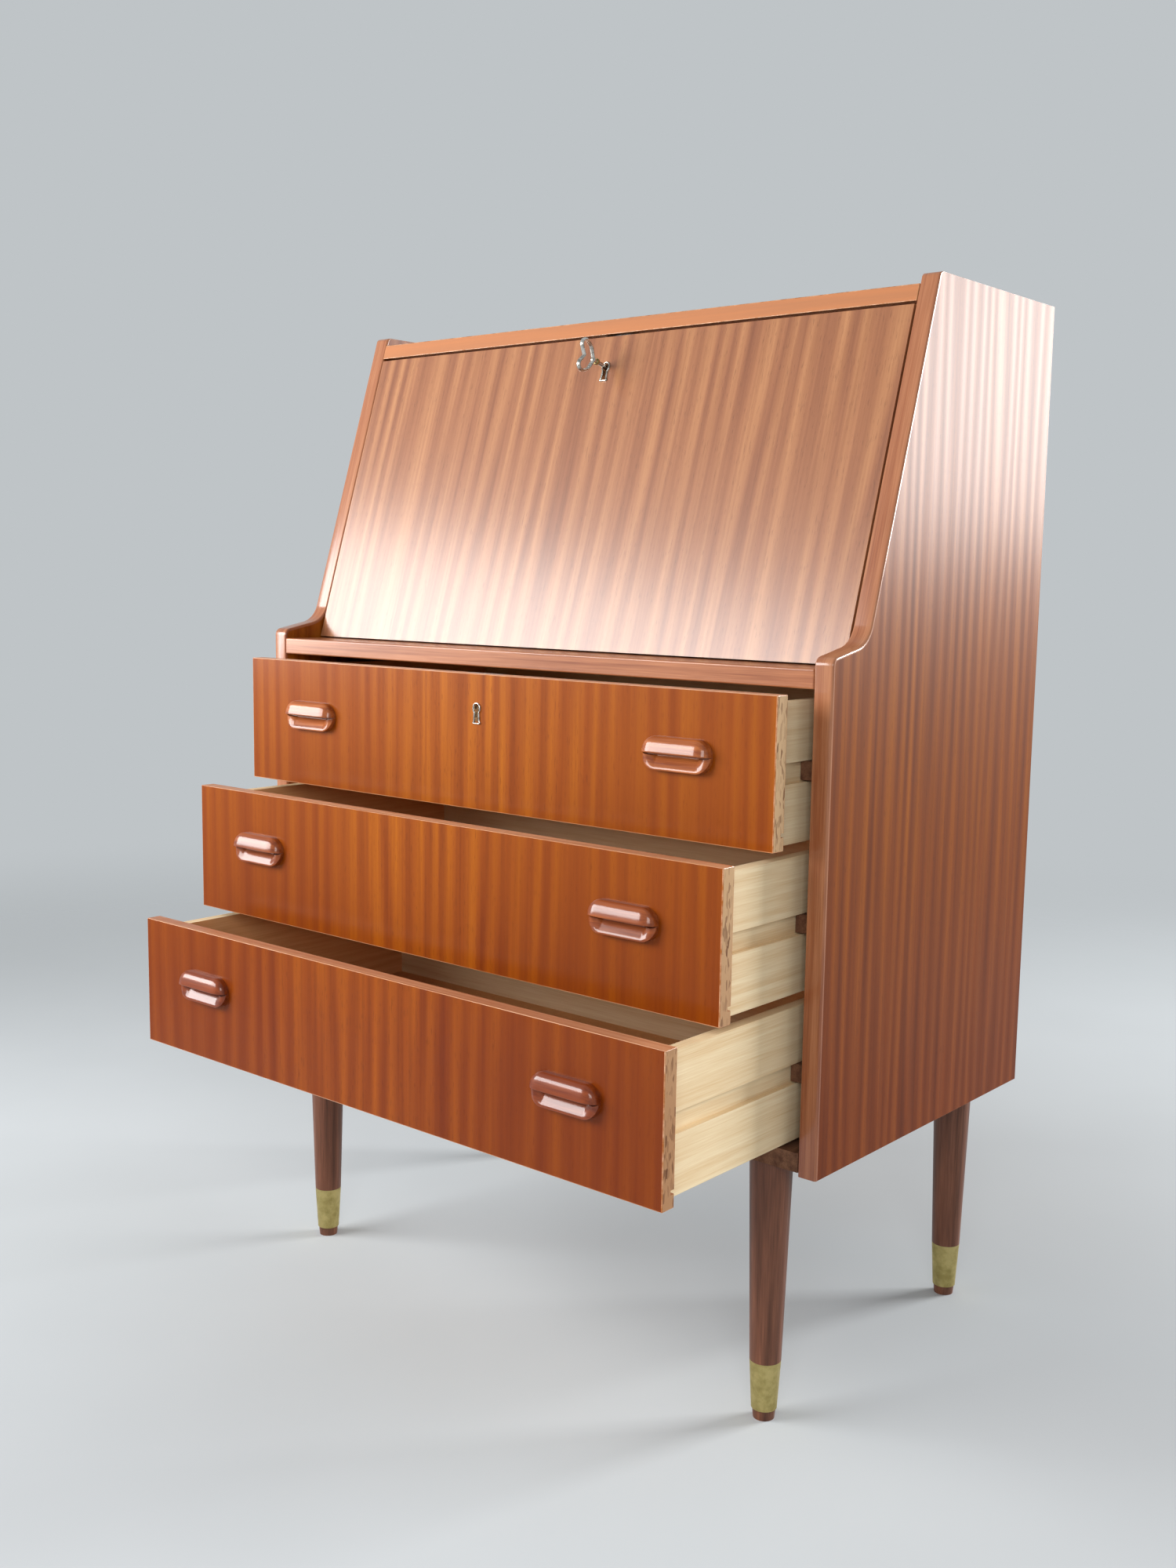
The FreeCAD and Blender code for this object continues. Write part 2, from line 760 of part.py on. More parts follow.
leg_places = {}
for side in ("left", "right"):
    leg_x = sign(side) * (S.carcass_width * HALF - S.leg_inset_side)
    leg_places[f"front_{side}"] = (leg_x, front + S.leg_inset_end)
    leg_places[f"back_{side}"] = (leg_x, back - S.leg_inset_end)
spigot_radius = S.ferrule_bottom_radius - S.ferrule_wall
leg_outline = [
    (0, 0),
    (S.foot_radius, 0),
    (spigot_radius, S.ferrule_bottom),
    (spigot_radius, S.ferrule_top),
    (S.ferrule_top_radius, S.ferrule_top),
    (S.leg_top_radius, base_low),
    (S.leg_tenon_radius, base_low),
    (S.leg_tenon_radius, base_low + S.leg_tenon_length),
    (0, base_low + S.leg_tenon_length),
]
ferrule_bore = spigot_radius + S.snug_gap
ferrule_outline = [
    (ferrule_bore, S.ferrule_bottom),
    (S.ferrule_bottom_radius, S.ferrule_bottom),
    (S.ferrule_top_radius, S.ferrule_top),
    (ferrule_bore, S.ferrule_top),
]
ferrules = []
mortises = []
for place, (x, y) in leg_places.items():
    node(f"{place}_leg", turned(f"{place}_leg", leg_outline, (x, y, 0)))
    ferrules.append(turned(f"{place}_ferrule", ferrule_outline, (x, y, 0)))
    mortise_radius = S.leg_tenon_radius + S.snug_gap
    mortise_length = S.leg_tenon_length + S.overrun
    mortises.append(rod(f"{place}_mortise", mortise_radius, mortise_length, "z", (x, y, base_low - S.overrun)))
node("leg_ferrules", group("leg_ferrules", *ferrules))
base_blank = box("bottom_board_blank", between, (front, board_back), (base_low, base_high))
node("bottom_board", cut("bottom_board", base_blank, *mortises))


# Drawers

def handle(name, x, face, z):
    """Make a wooden lip pull: a rounded bar over a rimmed hollow for the fingers, and a tenon behind."""
    half_width = S.handle_width * HALF
    half_height = S.handle_height * HALF
    round_end = S.handle_height * S.handle_corner_share
    outline = [
        (x - half_width, z - half_height, round_end),
        (x + half_width, z - half_height, round_end),
        (x + half_width, z + half_height, round_end),
        (x - half_width, z + half_height, round_end),
    ]
    tip = face - S.handle_projection
    blank = prism(f"{name}_blank", "y", outline, tip, face)
    doc.recompute()
    pad = blank.Tip
    outer = next(
        index for index, side in enumerate(pad.Shape.Faces, start=1)
        if side.normalAt(0, 0).y < -HALF and side.CenterOfMass.y < pad.Shape.CenterOfMass.y
    )
    rounding = blank.newObject("PartDesign::Fillet", f"{name}_rounding")
    rounding.Base = (pad, [f"Face{outer}"])
    bind(rounding, "Radius", S.handle_round)
    blank.Tip = rounding

    lip = z + S.handle_lip_level
    rim = face - S.handle_rim_projection
    below = box(
        f"{name}_below_lip",
        (x - half_width - S.overrun, x + half_width + S.overrun),
        (tip - S.overrun, rim),
        (z - half_height - S.overrun, lip),
    )
    inset = S.handle_rim_width
    inner_round = round_end - inset
    hollow_outline = [
        (x - half_width + inset, z - half_height + inset, inner_round),
        (x + half_width - inset, z - half_height + inset, inner_round),
        (x + half_width - inset, z + half_height - inset, inner_round),
        (x - half_width + inset, z + half_height - inset, inner_round),
    ]
    floor = face - S.handle_floor
    lip_inside = rim - S.handle_lip_overhang
    hollow_section = [
        (lip_inside, z - half_height),
        (rim, z - half_height),
        (floor, z - S.handle_undercut),
        (floor, lip + S.handle_undercut, S.handle_hollow_radius),
        (lip_inside, lip + S.handle_undercut, S.handle_hollow_radius * HALF),
    ]
    hollow = common(
        f"{name}_hollow",
        prism(f"{name}_hollow_plan", "y", hollow_outline, tip, face),
        prism(f"{name}_hollow_section", "x", hollow_section, x - half_width, x + half_width),
    )
    tenon_x = (x - S.handle_tenon_width * HALF, x + S.handle_tenon_width * HALF)
    tenon_low = z + S.handle_tenon_rise - S.handle_tenon_height * HALF
    tenon_z = (tenon_low, tenon_low + S.handle_tenon_height)
    tenon = box(f"{name}_tenon", tenon_x, (face, face + S.handle_tenon_length), tenon_z)
    mortise = box(f"{name}_mortise", tenon_x, (face - S.overrun, face + S.handle_tenon_length), tenon_z)
    return fused(name, cut(f"{name}_carved", blank, below, hollow), tenon), mortise


def make_drawer(name):
    """Make one drawer, drawn out by its opening: front, sides, back, bottom and two handles."""
    face = front - openings[name]
    inside = face + S.front_thickness
    rear = face + drawer_length
    low = front_levels[name]
    high = low + S.front_height
    half = inner - S.front_side_gap
    side_z = (low + S.drawer_side_lift, high - S.drawer_side_drop)
    bottom_z = (low + S.drawer_bottom_level, low + S.drawer_bottom_level + S.drawer_bottom_thickness)
    housed = inside - S.drawer_housing
    groove_y = inside - S.drawer_bottom_groove
    bottom_half = drawer_side_inner + S.drawer_bottom_groove

    front_cuts = [box(
        f"{name}_front_groove",
        (-half - S.overrun, half + S.overrun),
        (groove_y, inside + S.overrun),
        bottom_z,
    )]
    for side in ("left", "right"):
        side_x = mirrored(side, drawer_side_inner, drawer_side_outer)
        front_cuts.append(box(f"{name}_{side}_housing", side_x, (housed, inside + S.overrun), side_z))
        board = box(f"{name}_side_{side}_board", side_x, (housed, rear), side_z)
        runner_groove = box(
            f"{name}_side_{side}_runner_groove",
            mirrored(side, drawer_side_outer - S.runner_groove_depth, drawer_side_outer + S.overrun),
            (inside, rear + S.overrun),
            (low + groove_low, low + groove_high),
        )
        bottom_groove = box(
            f"{name}_side_{side}_bottom_groove",
            mirrored(side, drawer_side_inner - S.overrun, bottom_half),
            (groove_y, rear + S.overrun),
            bottom_z,
        )
        node(f"{name}_side_{side}", cut(f"{name}_side_{side}", board, runner_groove, bottom_groove))

    back_y = rear - S.drawer_back_inset
    node(f"{name}_back", box(
        f"{name}_back",
        (-drawer_side_inner, drawer_side_inner),
        (back_y - S.drawer_back_thickness, back_y),
        (bottom_z[1], side_z[1] - S.drawer_back_drop),
    ))
    node(f"{name}_bottom", box(f"{name}_bottom", (-bottom_half, bottom_half), (groove_y, rear), bottom_z))

    handle_z = high - S.handle_below_top
    for side in ("left", "right"):
        handle_x = sign(side) * (half - S.handle_from_end)
        pull, mortise = handle(f"{name}_handle_{side}", handle_x, face, handle_z)
        node(f"{name}_handle_{side}", pull)
        front_cuts.append(mortise)

    if name == "top_drawer":
        key_z = high - S.lock_backset
        case, bolt, lock_cuts = lock("top_drawer_lock", face, inside, key_z, high)
        front_cuts.extend(lock_cuts)
        node("top_drawer_lock_case", case)
        node("top_drawer_lock_bolt", bolt)
        node("top_drawer_escutcheon", escutcheon("top_drawer_escutcheon", face, key_z))
    blank = box(f"{name}_front_blank", (-half, half), (face, inside), (low, high))
    node(f"{name}_front", cut(f"{name}_front", blank, *front_cuts))


for drawer in front_levels:
    make_drawer(drawer)

doc.recompute()

# Nothing is written unless every object is sound and every cut has taken something away.
for item in doc.Objects:
    if "Invalid" in item.State or "Error" in item.State:
        raise RuntimeError(f"{item.Name} failed: {item.State}")
    if item.TypeId == "Part::Cut" and item.Shape.Volume >= item.Base.Shape.Volume:
        raise RuntimeError(f"{item.Name} cut nothing")
for item in nodes:
    if item.Shape.isNull() or not item.Shape.isValid() or not item.Shape.Solids:
        raise RuntimeError(f"{item.Label} has no sound shape")

os.makedirs("parts", exist_ok=True)
for item in nodes:
    item.Shape.exportStep(f"parts/{item.Label}.step")
print(f"{len(nodes)} sub-parts written")
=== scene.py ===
"""Escritoire: the finishes and the small pieces of a fall-front writing desk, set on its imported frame."""
import json

import bmesh
import bpy
import numpy as np
from bpy.props import FloatProperty, FloatVectorProperty, PointerProperty
from mathutils import Matrix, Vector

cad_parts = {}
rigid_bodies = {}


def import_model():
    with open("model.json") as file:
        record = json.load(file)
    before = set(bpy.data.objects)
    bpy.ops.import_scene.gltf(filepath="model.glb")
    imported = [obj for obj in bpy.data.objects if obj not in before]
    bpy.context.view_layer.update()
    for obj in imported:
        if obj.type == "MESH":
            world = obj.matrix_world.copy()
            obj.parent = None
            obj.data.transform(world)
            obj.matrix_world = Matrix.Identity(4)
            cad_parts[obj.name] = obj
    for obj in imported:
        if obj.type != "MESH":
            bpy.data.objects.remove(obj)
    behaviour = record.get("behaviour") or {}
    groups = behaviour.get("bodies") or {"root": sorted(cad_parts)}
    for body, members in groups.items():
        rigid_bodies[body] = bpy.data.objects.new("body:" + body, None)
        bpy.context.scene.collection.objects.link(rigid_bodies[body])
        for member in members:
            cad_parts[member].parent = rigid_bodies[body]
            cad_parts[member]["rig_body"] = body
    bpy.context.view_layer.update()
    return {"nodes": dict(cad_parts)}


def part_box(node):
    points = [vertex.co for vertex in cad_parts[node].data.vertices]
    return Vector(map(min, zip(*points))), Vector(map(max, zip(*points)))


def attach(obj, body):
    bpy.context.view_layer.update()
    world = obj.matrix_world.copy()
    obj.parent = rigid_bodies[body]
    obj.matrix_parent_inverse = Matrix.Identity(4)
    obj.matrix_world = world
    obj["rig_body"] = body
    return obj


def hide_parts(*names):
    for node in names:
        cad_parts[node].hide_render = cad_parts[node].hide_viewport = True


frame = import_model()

bl_info = {
    "name": "Escritoire",
    "version": (1, 0, 0),
    "blender": (4, 5, 0),
    "location": "3D View > Sidebar > Escritoire",
    "description": "Finishes and small pieces of a fall-front writing desk",
    "category": "Object",
}

DRAWERS = ("bottom_drawer", "middle_drawer", "top_drawer")
SIDES = ("left", "right")
MM = 0.001
# Points closer than this are one
SAME_PLACE = 0.001 * MM

# Forms and places taken from the solids, in millimetres and degrees
SLANT_DEGREES = 17.05
SLANT_SINE, SLANT_COSINE = 0.29321, 0.95605
SHOULDER_DEGREES = 11.5
SHOULDER_RISE = 9.6
LEDGE_DEPTH = 50.4
CROWN_RADIUS, HOLLOW_RADIUS, NOSE_RADIUS = 6, 28, 8
LIPPING_THICKNESS = 3
FLAP_THICKNESS = 16
FLAP_PIVOT = (0, -34.685, 718.5)
FLAP_KEYHOLE = (0, 44.347, 1003.483)
DRAWER_KEYHOLE_LEVEL = 655.7
# The directions up and out of an upright front and of the fall front
UPRIGHT = ((0, 0, 1), (0, -1, 0))
SLANTED = ((0, SLANT_SINE, SLANT_COSINE), (0, -SLANT_COSINE, SLANT_SINE))

# Half of the outline of a keyhole: sideways, up, radius of the corner
KEYHOLE_HALF = np.array((
    (0, -15.2, 0), (4.7, -15.2, 0.8), (3.4, -12.4, 1.5), (3.0, -4.6, 2.0), (4.25, -2.4, 1.5),
    (4.25, 4.85, 4.2),
))
# Half of the heart of the key's bow: out, up, radius of the corner
BOW_HALF = np.array(((21.5, 0, 0), (28.0, 12.0, 10), (38.5, 17.5, 5.5), (44.5, 11.0, 5), (36.3, 0, 1.3)))
# Profiles of the key's stem and collar: out, radius
STEM = (
    (-14, 0.0), (-14, 1.9), (-13.6, 2.2), (20.4, 2.2), (21.2, 2.9), (22.0, 2.9), (22.8, 2.2), (24.2, 1.4),
    (24.6, 0.0),
)
COLLAR = ((14.6, 2.0), (14.6, 2.9), (15.2, 3.4), (17.2, 3.4), (17.8, 2.9), (17.8, 2.0))
# Outline of the key's bit: up, out, and half its thickness
BIT = np.array((
    (-1.5, -10.0), (-7.4, -10.0), (-7.4, -11.4), (-5.4, -11.4), (-5.4, -12.4), (-7.4, -12.4), (-7.4, -14.0),
    (-1.5, -14.0),
))
BIT_HALF = 1.0
# The key hangs down in its hole by this angle
DROOP_DEGREES = 3.5

# Area lights: name, place and target in metres, width, height, roll in degrees, power in watts
LAMPS = (
    ("window", (-1.292, -1.554, 1.275), (0.194, -0.216, 1.275), 1.62, 0.97, 15, 65),
    ("side_window", (1.87, 2.77, 1.44), (0.375, 0.1, 0.95), 1.3, 1.1, 0, 126),
    ("fill", (1.5, -1.9, 1.35), (0, -0.1, 0.5), 0.9, 0.9, 0, 18),
)
AMBIENT = 0.38
CAMERA_PLACE = (1.09398, -1.26676, 0.78917)
CAMERA_YAW, CAMERA_PITCH, CAMERA_ROLL = np.radians([40.26, 7.557, 0.861])
FLOOR_HALF, FLOOR_LINES = 4, 13


# Colours and sizes that a user may change

def linear(code):
    """Turn an sRGB hex value into the linear colour that the shaders use."""
    parts = np.array([int(code[start:start + 2], 16) for start in (1, 3, 5)]) / 255
    bent = np.where(parts <= 0.04045, parts / 12.92, ((parts + 0.055) / 1.055) ** 2.4)
    return tuple(bent.tolist())


def colour(name, code, description):
    """Return a colour property whose default is an sRGB hex value."""
    return FloatVectorProperty(
        name=name, description=description, subtype="COLOR", size=3, min=0, max=1, default=linear(code)
    )


def length(name, millimetres, description):
    """Return a length property whose default is given in millimetres."""
    return FloatProperty(
        name=name, description=description, subtype="DISTANCE", unit="LENGTH", default=millimetres * MM
    )


def angle(name, degrees, description):
    """Return an angle property whose default is given in degrees."""
    return FloatProperty(
        name=name, description=description, subtype="ANGLE", unit="ROTATION",
        default=np.radians(degrees).item(),
    )


class VeneerSettings(bpy.types.PropertyGroup):
    """Colours and figure of the ribbon-striped veneer."""

    front_dark: colour("Front dark", "#823a05", "Dark ribbons of the drawer fronts")
    front_middle: colour("Front middle", "#984d0b", "Ground colour of the drawer fronts")
    front_light: colour("Front light", "#ad6010", "Light ribbons of the drawer fronts")
    flap_dark: colour("Fall front dark", "#845035", "Dark ribbons of the fall front")
    flap_middle: colour("Fall front middle", "#996341", "Ground colour of the fall front")
    flap_light: colour("Fall front light", "#ac764e", "Light ribbons of the fall front")
    side_dark: colour("Side dark", "#713608", "Dark ribbons of the sides")
    side_middle: colour("Side middle", "#84430a", "Ground colour of the sides")
    side_light: colour("Side light", "#995613", "Light ribbons of the sides")
    ribbon: length("Ribbon spacing", 27, "Distance from one light ribbon to the next")
    easing: length("Easing", 0.8, "Width by which the boards' outer edges are rounded")


class WoodSettings(bpy.types.PropertyGroup):
    """Colours and shapes of the solid wood."""

    edge_dark: colour("Edge dark", "#ba7950", "Dark grain of top edges and pigeonholes")
    edge_light: colour("Edge light", "#d8a27a", "Light grain of top edges and pigeonholes")
    lipping_dark: colour("Lipping dark", "#8e5030", "Dark grain of the lippings and the rail")
    lipping_light: colour("Lipping light", "#ae7450", "Light grain of the lippings")
    leg_dark: colour("Leg dark", "#543121", "Dark grain of the stained legs")
    leg_light: colour("Leg light", "#774a35", "Light grain of the stained legs")
    pull_dark: colour("Pull dark", "#803d1b", "Dark grain of the pulls")
    pull_light: colour("Pull light", "#ac6130", "Light grain of the pulls")
    box_dark: colour("Drawer side dark", "#dcc096", "Dark grain of the drawer sides")
    box_light: colour("Drawer side light", "#e8d3ad", "Light grain of the drawer sides")
    board_dark: colour("Hardboard dark", "#d2985f", "Dark fibres of the hardboard")
    board_light: colour("Hardboard light", "#e8b57c", "Light fibres of the hardboard")
    back_dark: colour("Back dark", "#7a5334", "Dark fibres of the back panel")
    back_light: colour("Back light", "#9d724a", "Light fibres of the back panel")
    # The runners are dark brown as painted shade, for their ends in the shadow beside the drawers
    runner_dark: colour("Runner dark", "#54382a", "Dark grain of the stained runners")
    runner_light: colour("Runner light", "#74523d", "Light grain of the stained runners")
    chip_dark: colour("Chip dark", "#7c583a", "Dark chips in the raw ends of the fronts")
    chip_light: colour("Chip light", "#c6a47c", "Light chips in the raw ends of the fronts")
    lipping_round: length("Lipping round", 2, "Radius of the lippings' front edges")
    lip_tilt: angle("Lip tilt", 9, "How far the front of a pull looks up at its lip")
    cove_tilt: angle("Cove tilt", 31, "How far the floor of a pull's hollow looks up")


class MetalSettings(bpy.types.PropertyGroup):
    """Colours and sizes of keyhole rims, key and ferrules."""

    brass: colour("Brass", "#c4b378", "Aged brass of the ferrules")
    steel: colour("Steel", "#b4b3b0", "Steel of the locks")
    nickel: colour("Nickel", "#e0ddd6", "Nickel plate of the keyhole rims and the key")
    rim_width: length("Rim width", 1.9, "Width of the round bead of a keyhole rim")
    bow_wire: length("Bow wire", 1.7, "Radius of the wire of the key's bow")


class StageSettings(bpy.types.PropertyGroup):
    """Floor and camera."""

    floor: colour("Floor", "#bfc4c7", "Pale floor and background")
    lens: FloatProperty(
        name="Lens", description="Focal length on a 36 mm frame", unit="CAMERA", default=36.48
    )


class EscritoireSettings(bpy.types.PropertyGroup):
    """All settings of the desk."""

    veneer: PointerProperty(type=VeneerSettings)
    wood: PointerProperty(type=WoodSettings)
    metal: PointerProperty(type=MetalSettings)
    stage: PointerProperty(type=StageSettings)


# Shader nodes

# Sockets of a Map Range node
RANGE = ("From Min", "From Max", "To Min", "To Max")
# Sockets of a Mix node, whose names repeat
MIX_A, MIX_B, COLOUR_A, COLOUR_B, COLOUR_OUT = 2, 3, 6, 7, 2
COLOURS = {"data_type": "RGBA"}


def link(tree, source, socket):
    """Link an output, or the first output of a node, to a socket."""
    tree.links.new(source.outputs[0] if isinstance(source, bpy.types.Node) else source, socket)


def add(tree, kind, settings=None, values=None, links=None, stops=None):
    """Add one shader node with its settings, socket values, links and, on a ramp, its stops."""
    node = tree.nodes.new(kind)
    for name, value in (settings or {}).items():
        setattr(node, name, value)
    for socket, value in (values or {}).items():
        node.inputs[socket].default_value = value
    for socket, source in (links or {}).items():
        link(tree, source, node.inputs[socket])
    for number, (position, shade) in enumerate(stops or ()):
        elements = node.color_ramp.elements
        element = elements[number] if number < 2 else elements.new(position)
        element.position = position
        element.color = (*shade, 1)
    return node


def new_material(name, **constants):
    """Start a material: its tree, its shader with constants on the sockets, and its coordinates."""
    material = bpy.data.materials.new(name)
    material.use_nodes = True
    tree = material.node_tree
    tree.nodes.clear()
    shader = add(tree, "ShaderNodeBsdfPrincipled", values={
        socket.replace("_", " "): value for socket, value in constants.items()
    })
    add(tree, "ShaderNodeOutputMaterial", links={"Surface": shader})
    place = add(tree, "ShaderNodeTexCoord").outputs
    return material, tree, shader, place


def opened(material):
    """Return a finish's tree, its shader, its coordinates and where its colour comes from."""
    tree = material.node_tree
    shader = tree.nodes["Principled BSDF"]
    shade = shader.inputs["Base Color"].links[0].from_socket
    return tree, shader, tree.nodes["Texture Coordinate"].outputs, shade


def surface(tree, shader, shade, dulling, span, rough, relief, strength, deep_mm, sunk=False):
    """Give a shader its colour, roughness and relief. While the noise dulling goes through span, the
    roughness goes through rough. The relief stands out by deep_mm, or is sunk."""
    gloss = add(tree, "ShaderNodeMapRange", values=dict(zip(RANGE, (*span, *rough))), links={0: dulling})
    bump = add(
        tree, "ShaderNodeBump", {"invert": sunk},
        values={"Strength": strength, "Distance": deep_mm * MM}, links={"Height": relief},
    )
    for socket, source in (("Base Color", shade), ("Roughness", gloss), ("Normal", bump)):
        link(tree, source, shader.inputs[socket])


def grain(tree, place, across, across_mm, along_mm, detail, shift):
    """Return noise drawn out with the grain: cells across_mm wide on the axes in across, else along_mm."""
    scale = [1 / ((across_mm if axis in across else along_mm) * MM) for axis in "XYZ"]
    drawn = add(
        tree, "ShaderNodeMapping",
        values={"Scale": scale, "Location": (shift, shift, shift)},
        links={"Vector": place["Object"]},
    )
    noise = add(
        tree, "ShaderNodeTexNoise",
        values={"Scale": 1, "Detail": detail, "Roughness": 0.55},
        links={"Vector": drawn},
    )
    return noise.outputs["Fac"]


def grain_lines(tree, place, across, width_mm, run_mm, dark, light):
    """Return the lines of a solid wood's grain: their noise and their colour."""
    line = grain(tree, place, across, width_mm, run_mm, detail=3.0, shift=1.0)
    ramp = add(tree, "ShaderNodeValToRGB", links={0: line}, stops=((0.32, dark), (0.68, light)))
    return line, ramp


def with_fibres(tree, figure, fibre):
    """Return a figure with the light and shade of fine fibres over it."""
    return add(
        tree, "ShaderNodeMix", {**COLOURS, "blend_type": "SOFT_LIGHT"},
        values={0: 0.5}, links={COLOUR_A: figure, COLOUR_B: fibre},
    ).outputs[COLOUR_OUT]


def veneer(name, tones, across, ribbon, coat, coat_rough=0.22):
    """Quarter-cut sapele veneer, sanded and lacquered: ribbons that catch the light in turn, fine dark pores
    and a satin coat that shows a soft glare."""
    dark, middle, light = tones
    material, tree, shader, place = new_material(
        name, IOR=1.5, Specular_IOR_Level=0.05, Coat_Weight=coat, Coat_Roughness=coat_rough, Coat_IOR=1.55
    )
    width = ribbon / MM
    # Ribbons stray sideways along a run of some 300 mm
    stray_run = 300
    drawn = add(
        tree, "ShaderNodeMapping",
        values={"Scale": [1 / ((width if axis == across else stray_run) * MM) for axis in "XYZ"]},
        links={"Vector": place["Object"]},
    )
    # At a scale of pi / 10 one wave is one unit long, so a light and a dark ribbon take up one width
    ribbons = add(
        tree, "ShaderNodeTexWave", {"bands_direction": across},
        values={"Scale": np.pi / 10, "Distortion": 5.5, "Detail": 0.0, "Detail Scale": 1.6},
        links={"Vector": drawn},
    ).outputs["Fac"]
    # In places the ribbons fade, and each sheet is lighter or darker as a whole
    fading = grain(tree, place, across, width * 1.6, 260, detail=1.0, shift=3.0)
    sheet = grain(tree, place, across, width * 1.8, 900, detail=1.0, shift=7.0)
    strength = add(
        tree, "ShaderNodeMapRange", values=dict(zip(RANGE, (0.3, 0.65, 0.25, 0.9))), links={0: fading}
    )
    striped = add(tree, "ShaderNodeMix", values={MIX_A: 0.5}, links={0: strength, MIX_B: ribbons})
    tone = add(tree, "ShaderNodeMix", values={0: 0.35}, links={MIX_A: striped, MIX_B: sheet})
    figure = add(
        tree, "ShaderNodeValToRGB", links={0: tone}, stops=((0.15, dark), (0.5, middle), (0.85, light))
    )
    fibre = grain(tree, place, across, 4.2, 240, detail=2.5, shift=5.0)
    # Pores are about 0.2 mm wide, and drawn 1 mm wide so that they show
    pore = grain(tree, place, across, 1.0, 11, detail=1.0, shift=9.0)
    pores = add(tree, "ShaderNodeMapRange", values=dict(zip(RANGE, (0.62, 0.72, 0.0, 0.35))), links={0: pore})
    pored = add(
        tree, "ShaderNodeMix", COLOURS, values={COLOUR_B: (*[part * 0.45 for part in dark], 1)},
        links={0: pores, COLOUR_A: with_fibres(tree, figure, fibre)},
    ).outputs[COLOUR_OUT]
    surface(tree, shader, pored, ribbons, (0.0, 1.0), (0.55, 0.4), pores, 0.12, 0.3, sunk=True)
    return material


def tinted(material, mask, tint):
    """Multiply the colour of a finish by a tint, as far as the mask says."""
    tree, shader, _, plain = opened(material)
    shade = add(
        tree, "ShaderNodeMix", {**COLOURS, "blend_type": "MULTIPLY"}, values={COLOUR_B: (*tint, 1)},
        links={0: mask, COLOUR_A: plain},
    ).outputs[COLOUR_OUT]
    link(tree, shade, shader.inputs["Base Color"])


def painted_shade_below(material, low, high, share):
    """Darken and redden a finish from the height high down to low: painted shade, for the light that falls
    off lower down.
    """
    tree, _, place, _ = opened(material)
    where = add(tree, "ShaderNodeSeparateXYZ", links={0: place["Object"]})
    depth = add(
        tree, "ShaderNodeMapRange", values=dict(zip(RANGE, (low, high, share, 0.0))),
        links={0: where.outputs["Z"]},
    )
    tinted(material, depth, (0.6, 0.4, 0.3))


def solid_wood(name, dark, light, across, coat=1.0, coat_rough=0.22, rough=0.45, width_mm=7, run_mm=260):
    """Planed solid wood: long grain lines, fine fibres and, where it is lacquered, a satin coat."""
    material, tree, shader, place = new_material(
        name, IOR=1.5, Specular_IOR_Level=0.1, Coat_Weight=coat, Coat_Roughness=coat_rough, Coat_IOR=1.5
    )
    line, figure = grain_lines(tree, place, across, width_mm, run_mm, dark, light)
    fibre = grain(tree, place, across, 1.2, 45, detail=2.0, shift=4.0)
    shade = with_fibres(tree, figure, fibre)
    surface(tree, shader, shade, line, (0.3, 0.7), (rough + 0.08, rough - 0.06), fibre, 0.15, 0.2)
    return material


def hardboard(name, dark, light):
    """Pressed hardboard: matted brown fibres with no direction, slightly polished on its smooth face."""
    material, tree, shader, place = new_material(name, IOR=1.5)
    matted, cloud = (
        add(tree, "ShaderNodeTexNoise", values=values, links={"Vector": place["Object"]}).outputs["Fac"]
        for values in ({"Scale": 160.0, "Detail": 5.0, "Roughness": 0.7}, {"Scale": 7.0, "Detail": 2.0})
    )
    mixed = add(tree, "ShaderNodeMix", values={0: 0.5}, links={MIX_A: matted, MIX_B: cloud})
    shade = add(tree, "ShaderNodeValToRGB", links={0: mixed}, stops=((0.35, dark), (0.65, light)))
    surface(tree, shader, shade, matted, (0.3, 0.7), (0.6, 0.78), matted, 0.2, 0.3)
    return material


def metal(name, tone, rough, mottle_mm, stain):
    """Metal handled for years: cloudy dulling, a stain in the dull places and fine scratches."""
    material, tree, shader, place = new_material(name, Metallic=1.0)
    cloud = add(
        tree, "ShaderNodeTexNoise", values={"Scale": 1 / (mottle_mm * MM), "Detail": 4.0, "Roughness": 0.6},
        links={"Vector": place["Object"]},
    ).outputs["Fac"]
    scratch = grain(tree, place, "XY", 0.8, 14, detail=2.0, shift=2.0)
    shade = add(tree, "ShaderNodeValToRGB", links={0: cloud}, stops=((0.35, linear(stain)), (0.62, tone)))
    surface(tree, shader, shade, cloud, (0.3, 0.7), (rough + 0.12, rough - 0.05), scratch, 0.1, 0.1)
    return material


# Pieces

def in_scene(name, data):
    """Make an object and link it to the scene."""
    item = bpy.data.objects.new(name, data)
    bpy.context.scene.collection.objects.link(item)
    return item


def dress(material, *names):
    """Give CAD nodes a finish."""
    for name in names:
        for slot in frame["nodes"][name].material_slots:
            slot.material = material


def settle(piece, material, node, replaced=True):
    """Give a new piece its finish and the body of the CAD node it belongs to, and hide that node if the piece
    replaces it.
    """
    piece.data.materials.clear()
    piece.data.materials.append(material)
    if replaced:
        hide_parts(node)
    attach(piece, frame["nodes"][node]["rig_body"])


def make_piece(name, points, faces, material, node, replaced=True):
    """Make a closed piece from points in millimetres: double points are joined, faces turned outwards, and
    edges sharper than 40 degrees stay crisp."""
    mesh = bpy.data.meshes.new(name)
    mesh.from_pydata((np.asarray(points) * MM).tolist(), [], faces)
    work = bmesh.new()
    work.from_mesh(mesh)
    bmesh.ops.remove_doubles(work, verts=work.verts, dist=SAME_PLACE)
    bmesh.ops.recalc_face_normals(work, faces=work.faces)
    work.to_mesh(mesh)
    work.free()
    mesh.polygons.foreach_set("use_smooth", np.ones(len(mesh.polygons), bool))
    mesh.set_sharp_from_angle(angle=np.radians(40).item())
    settle(in_scene(name, mesh), material, node, replaced)


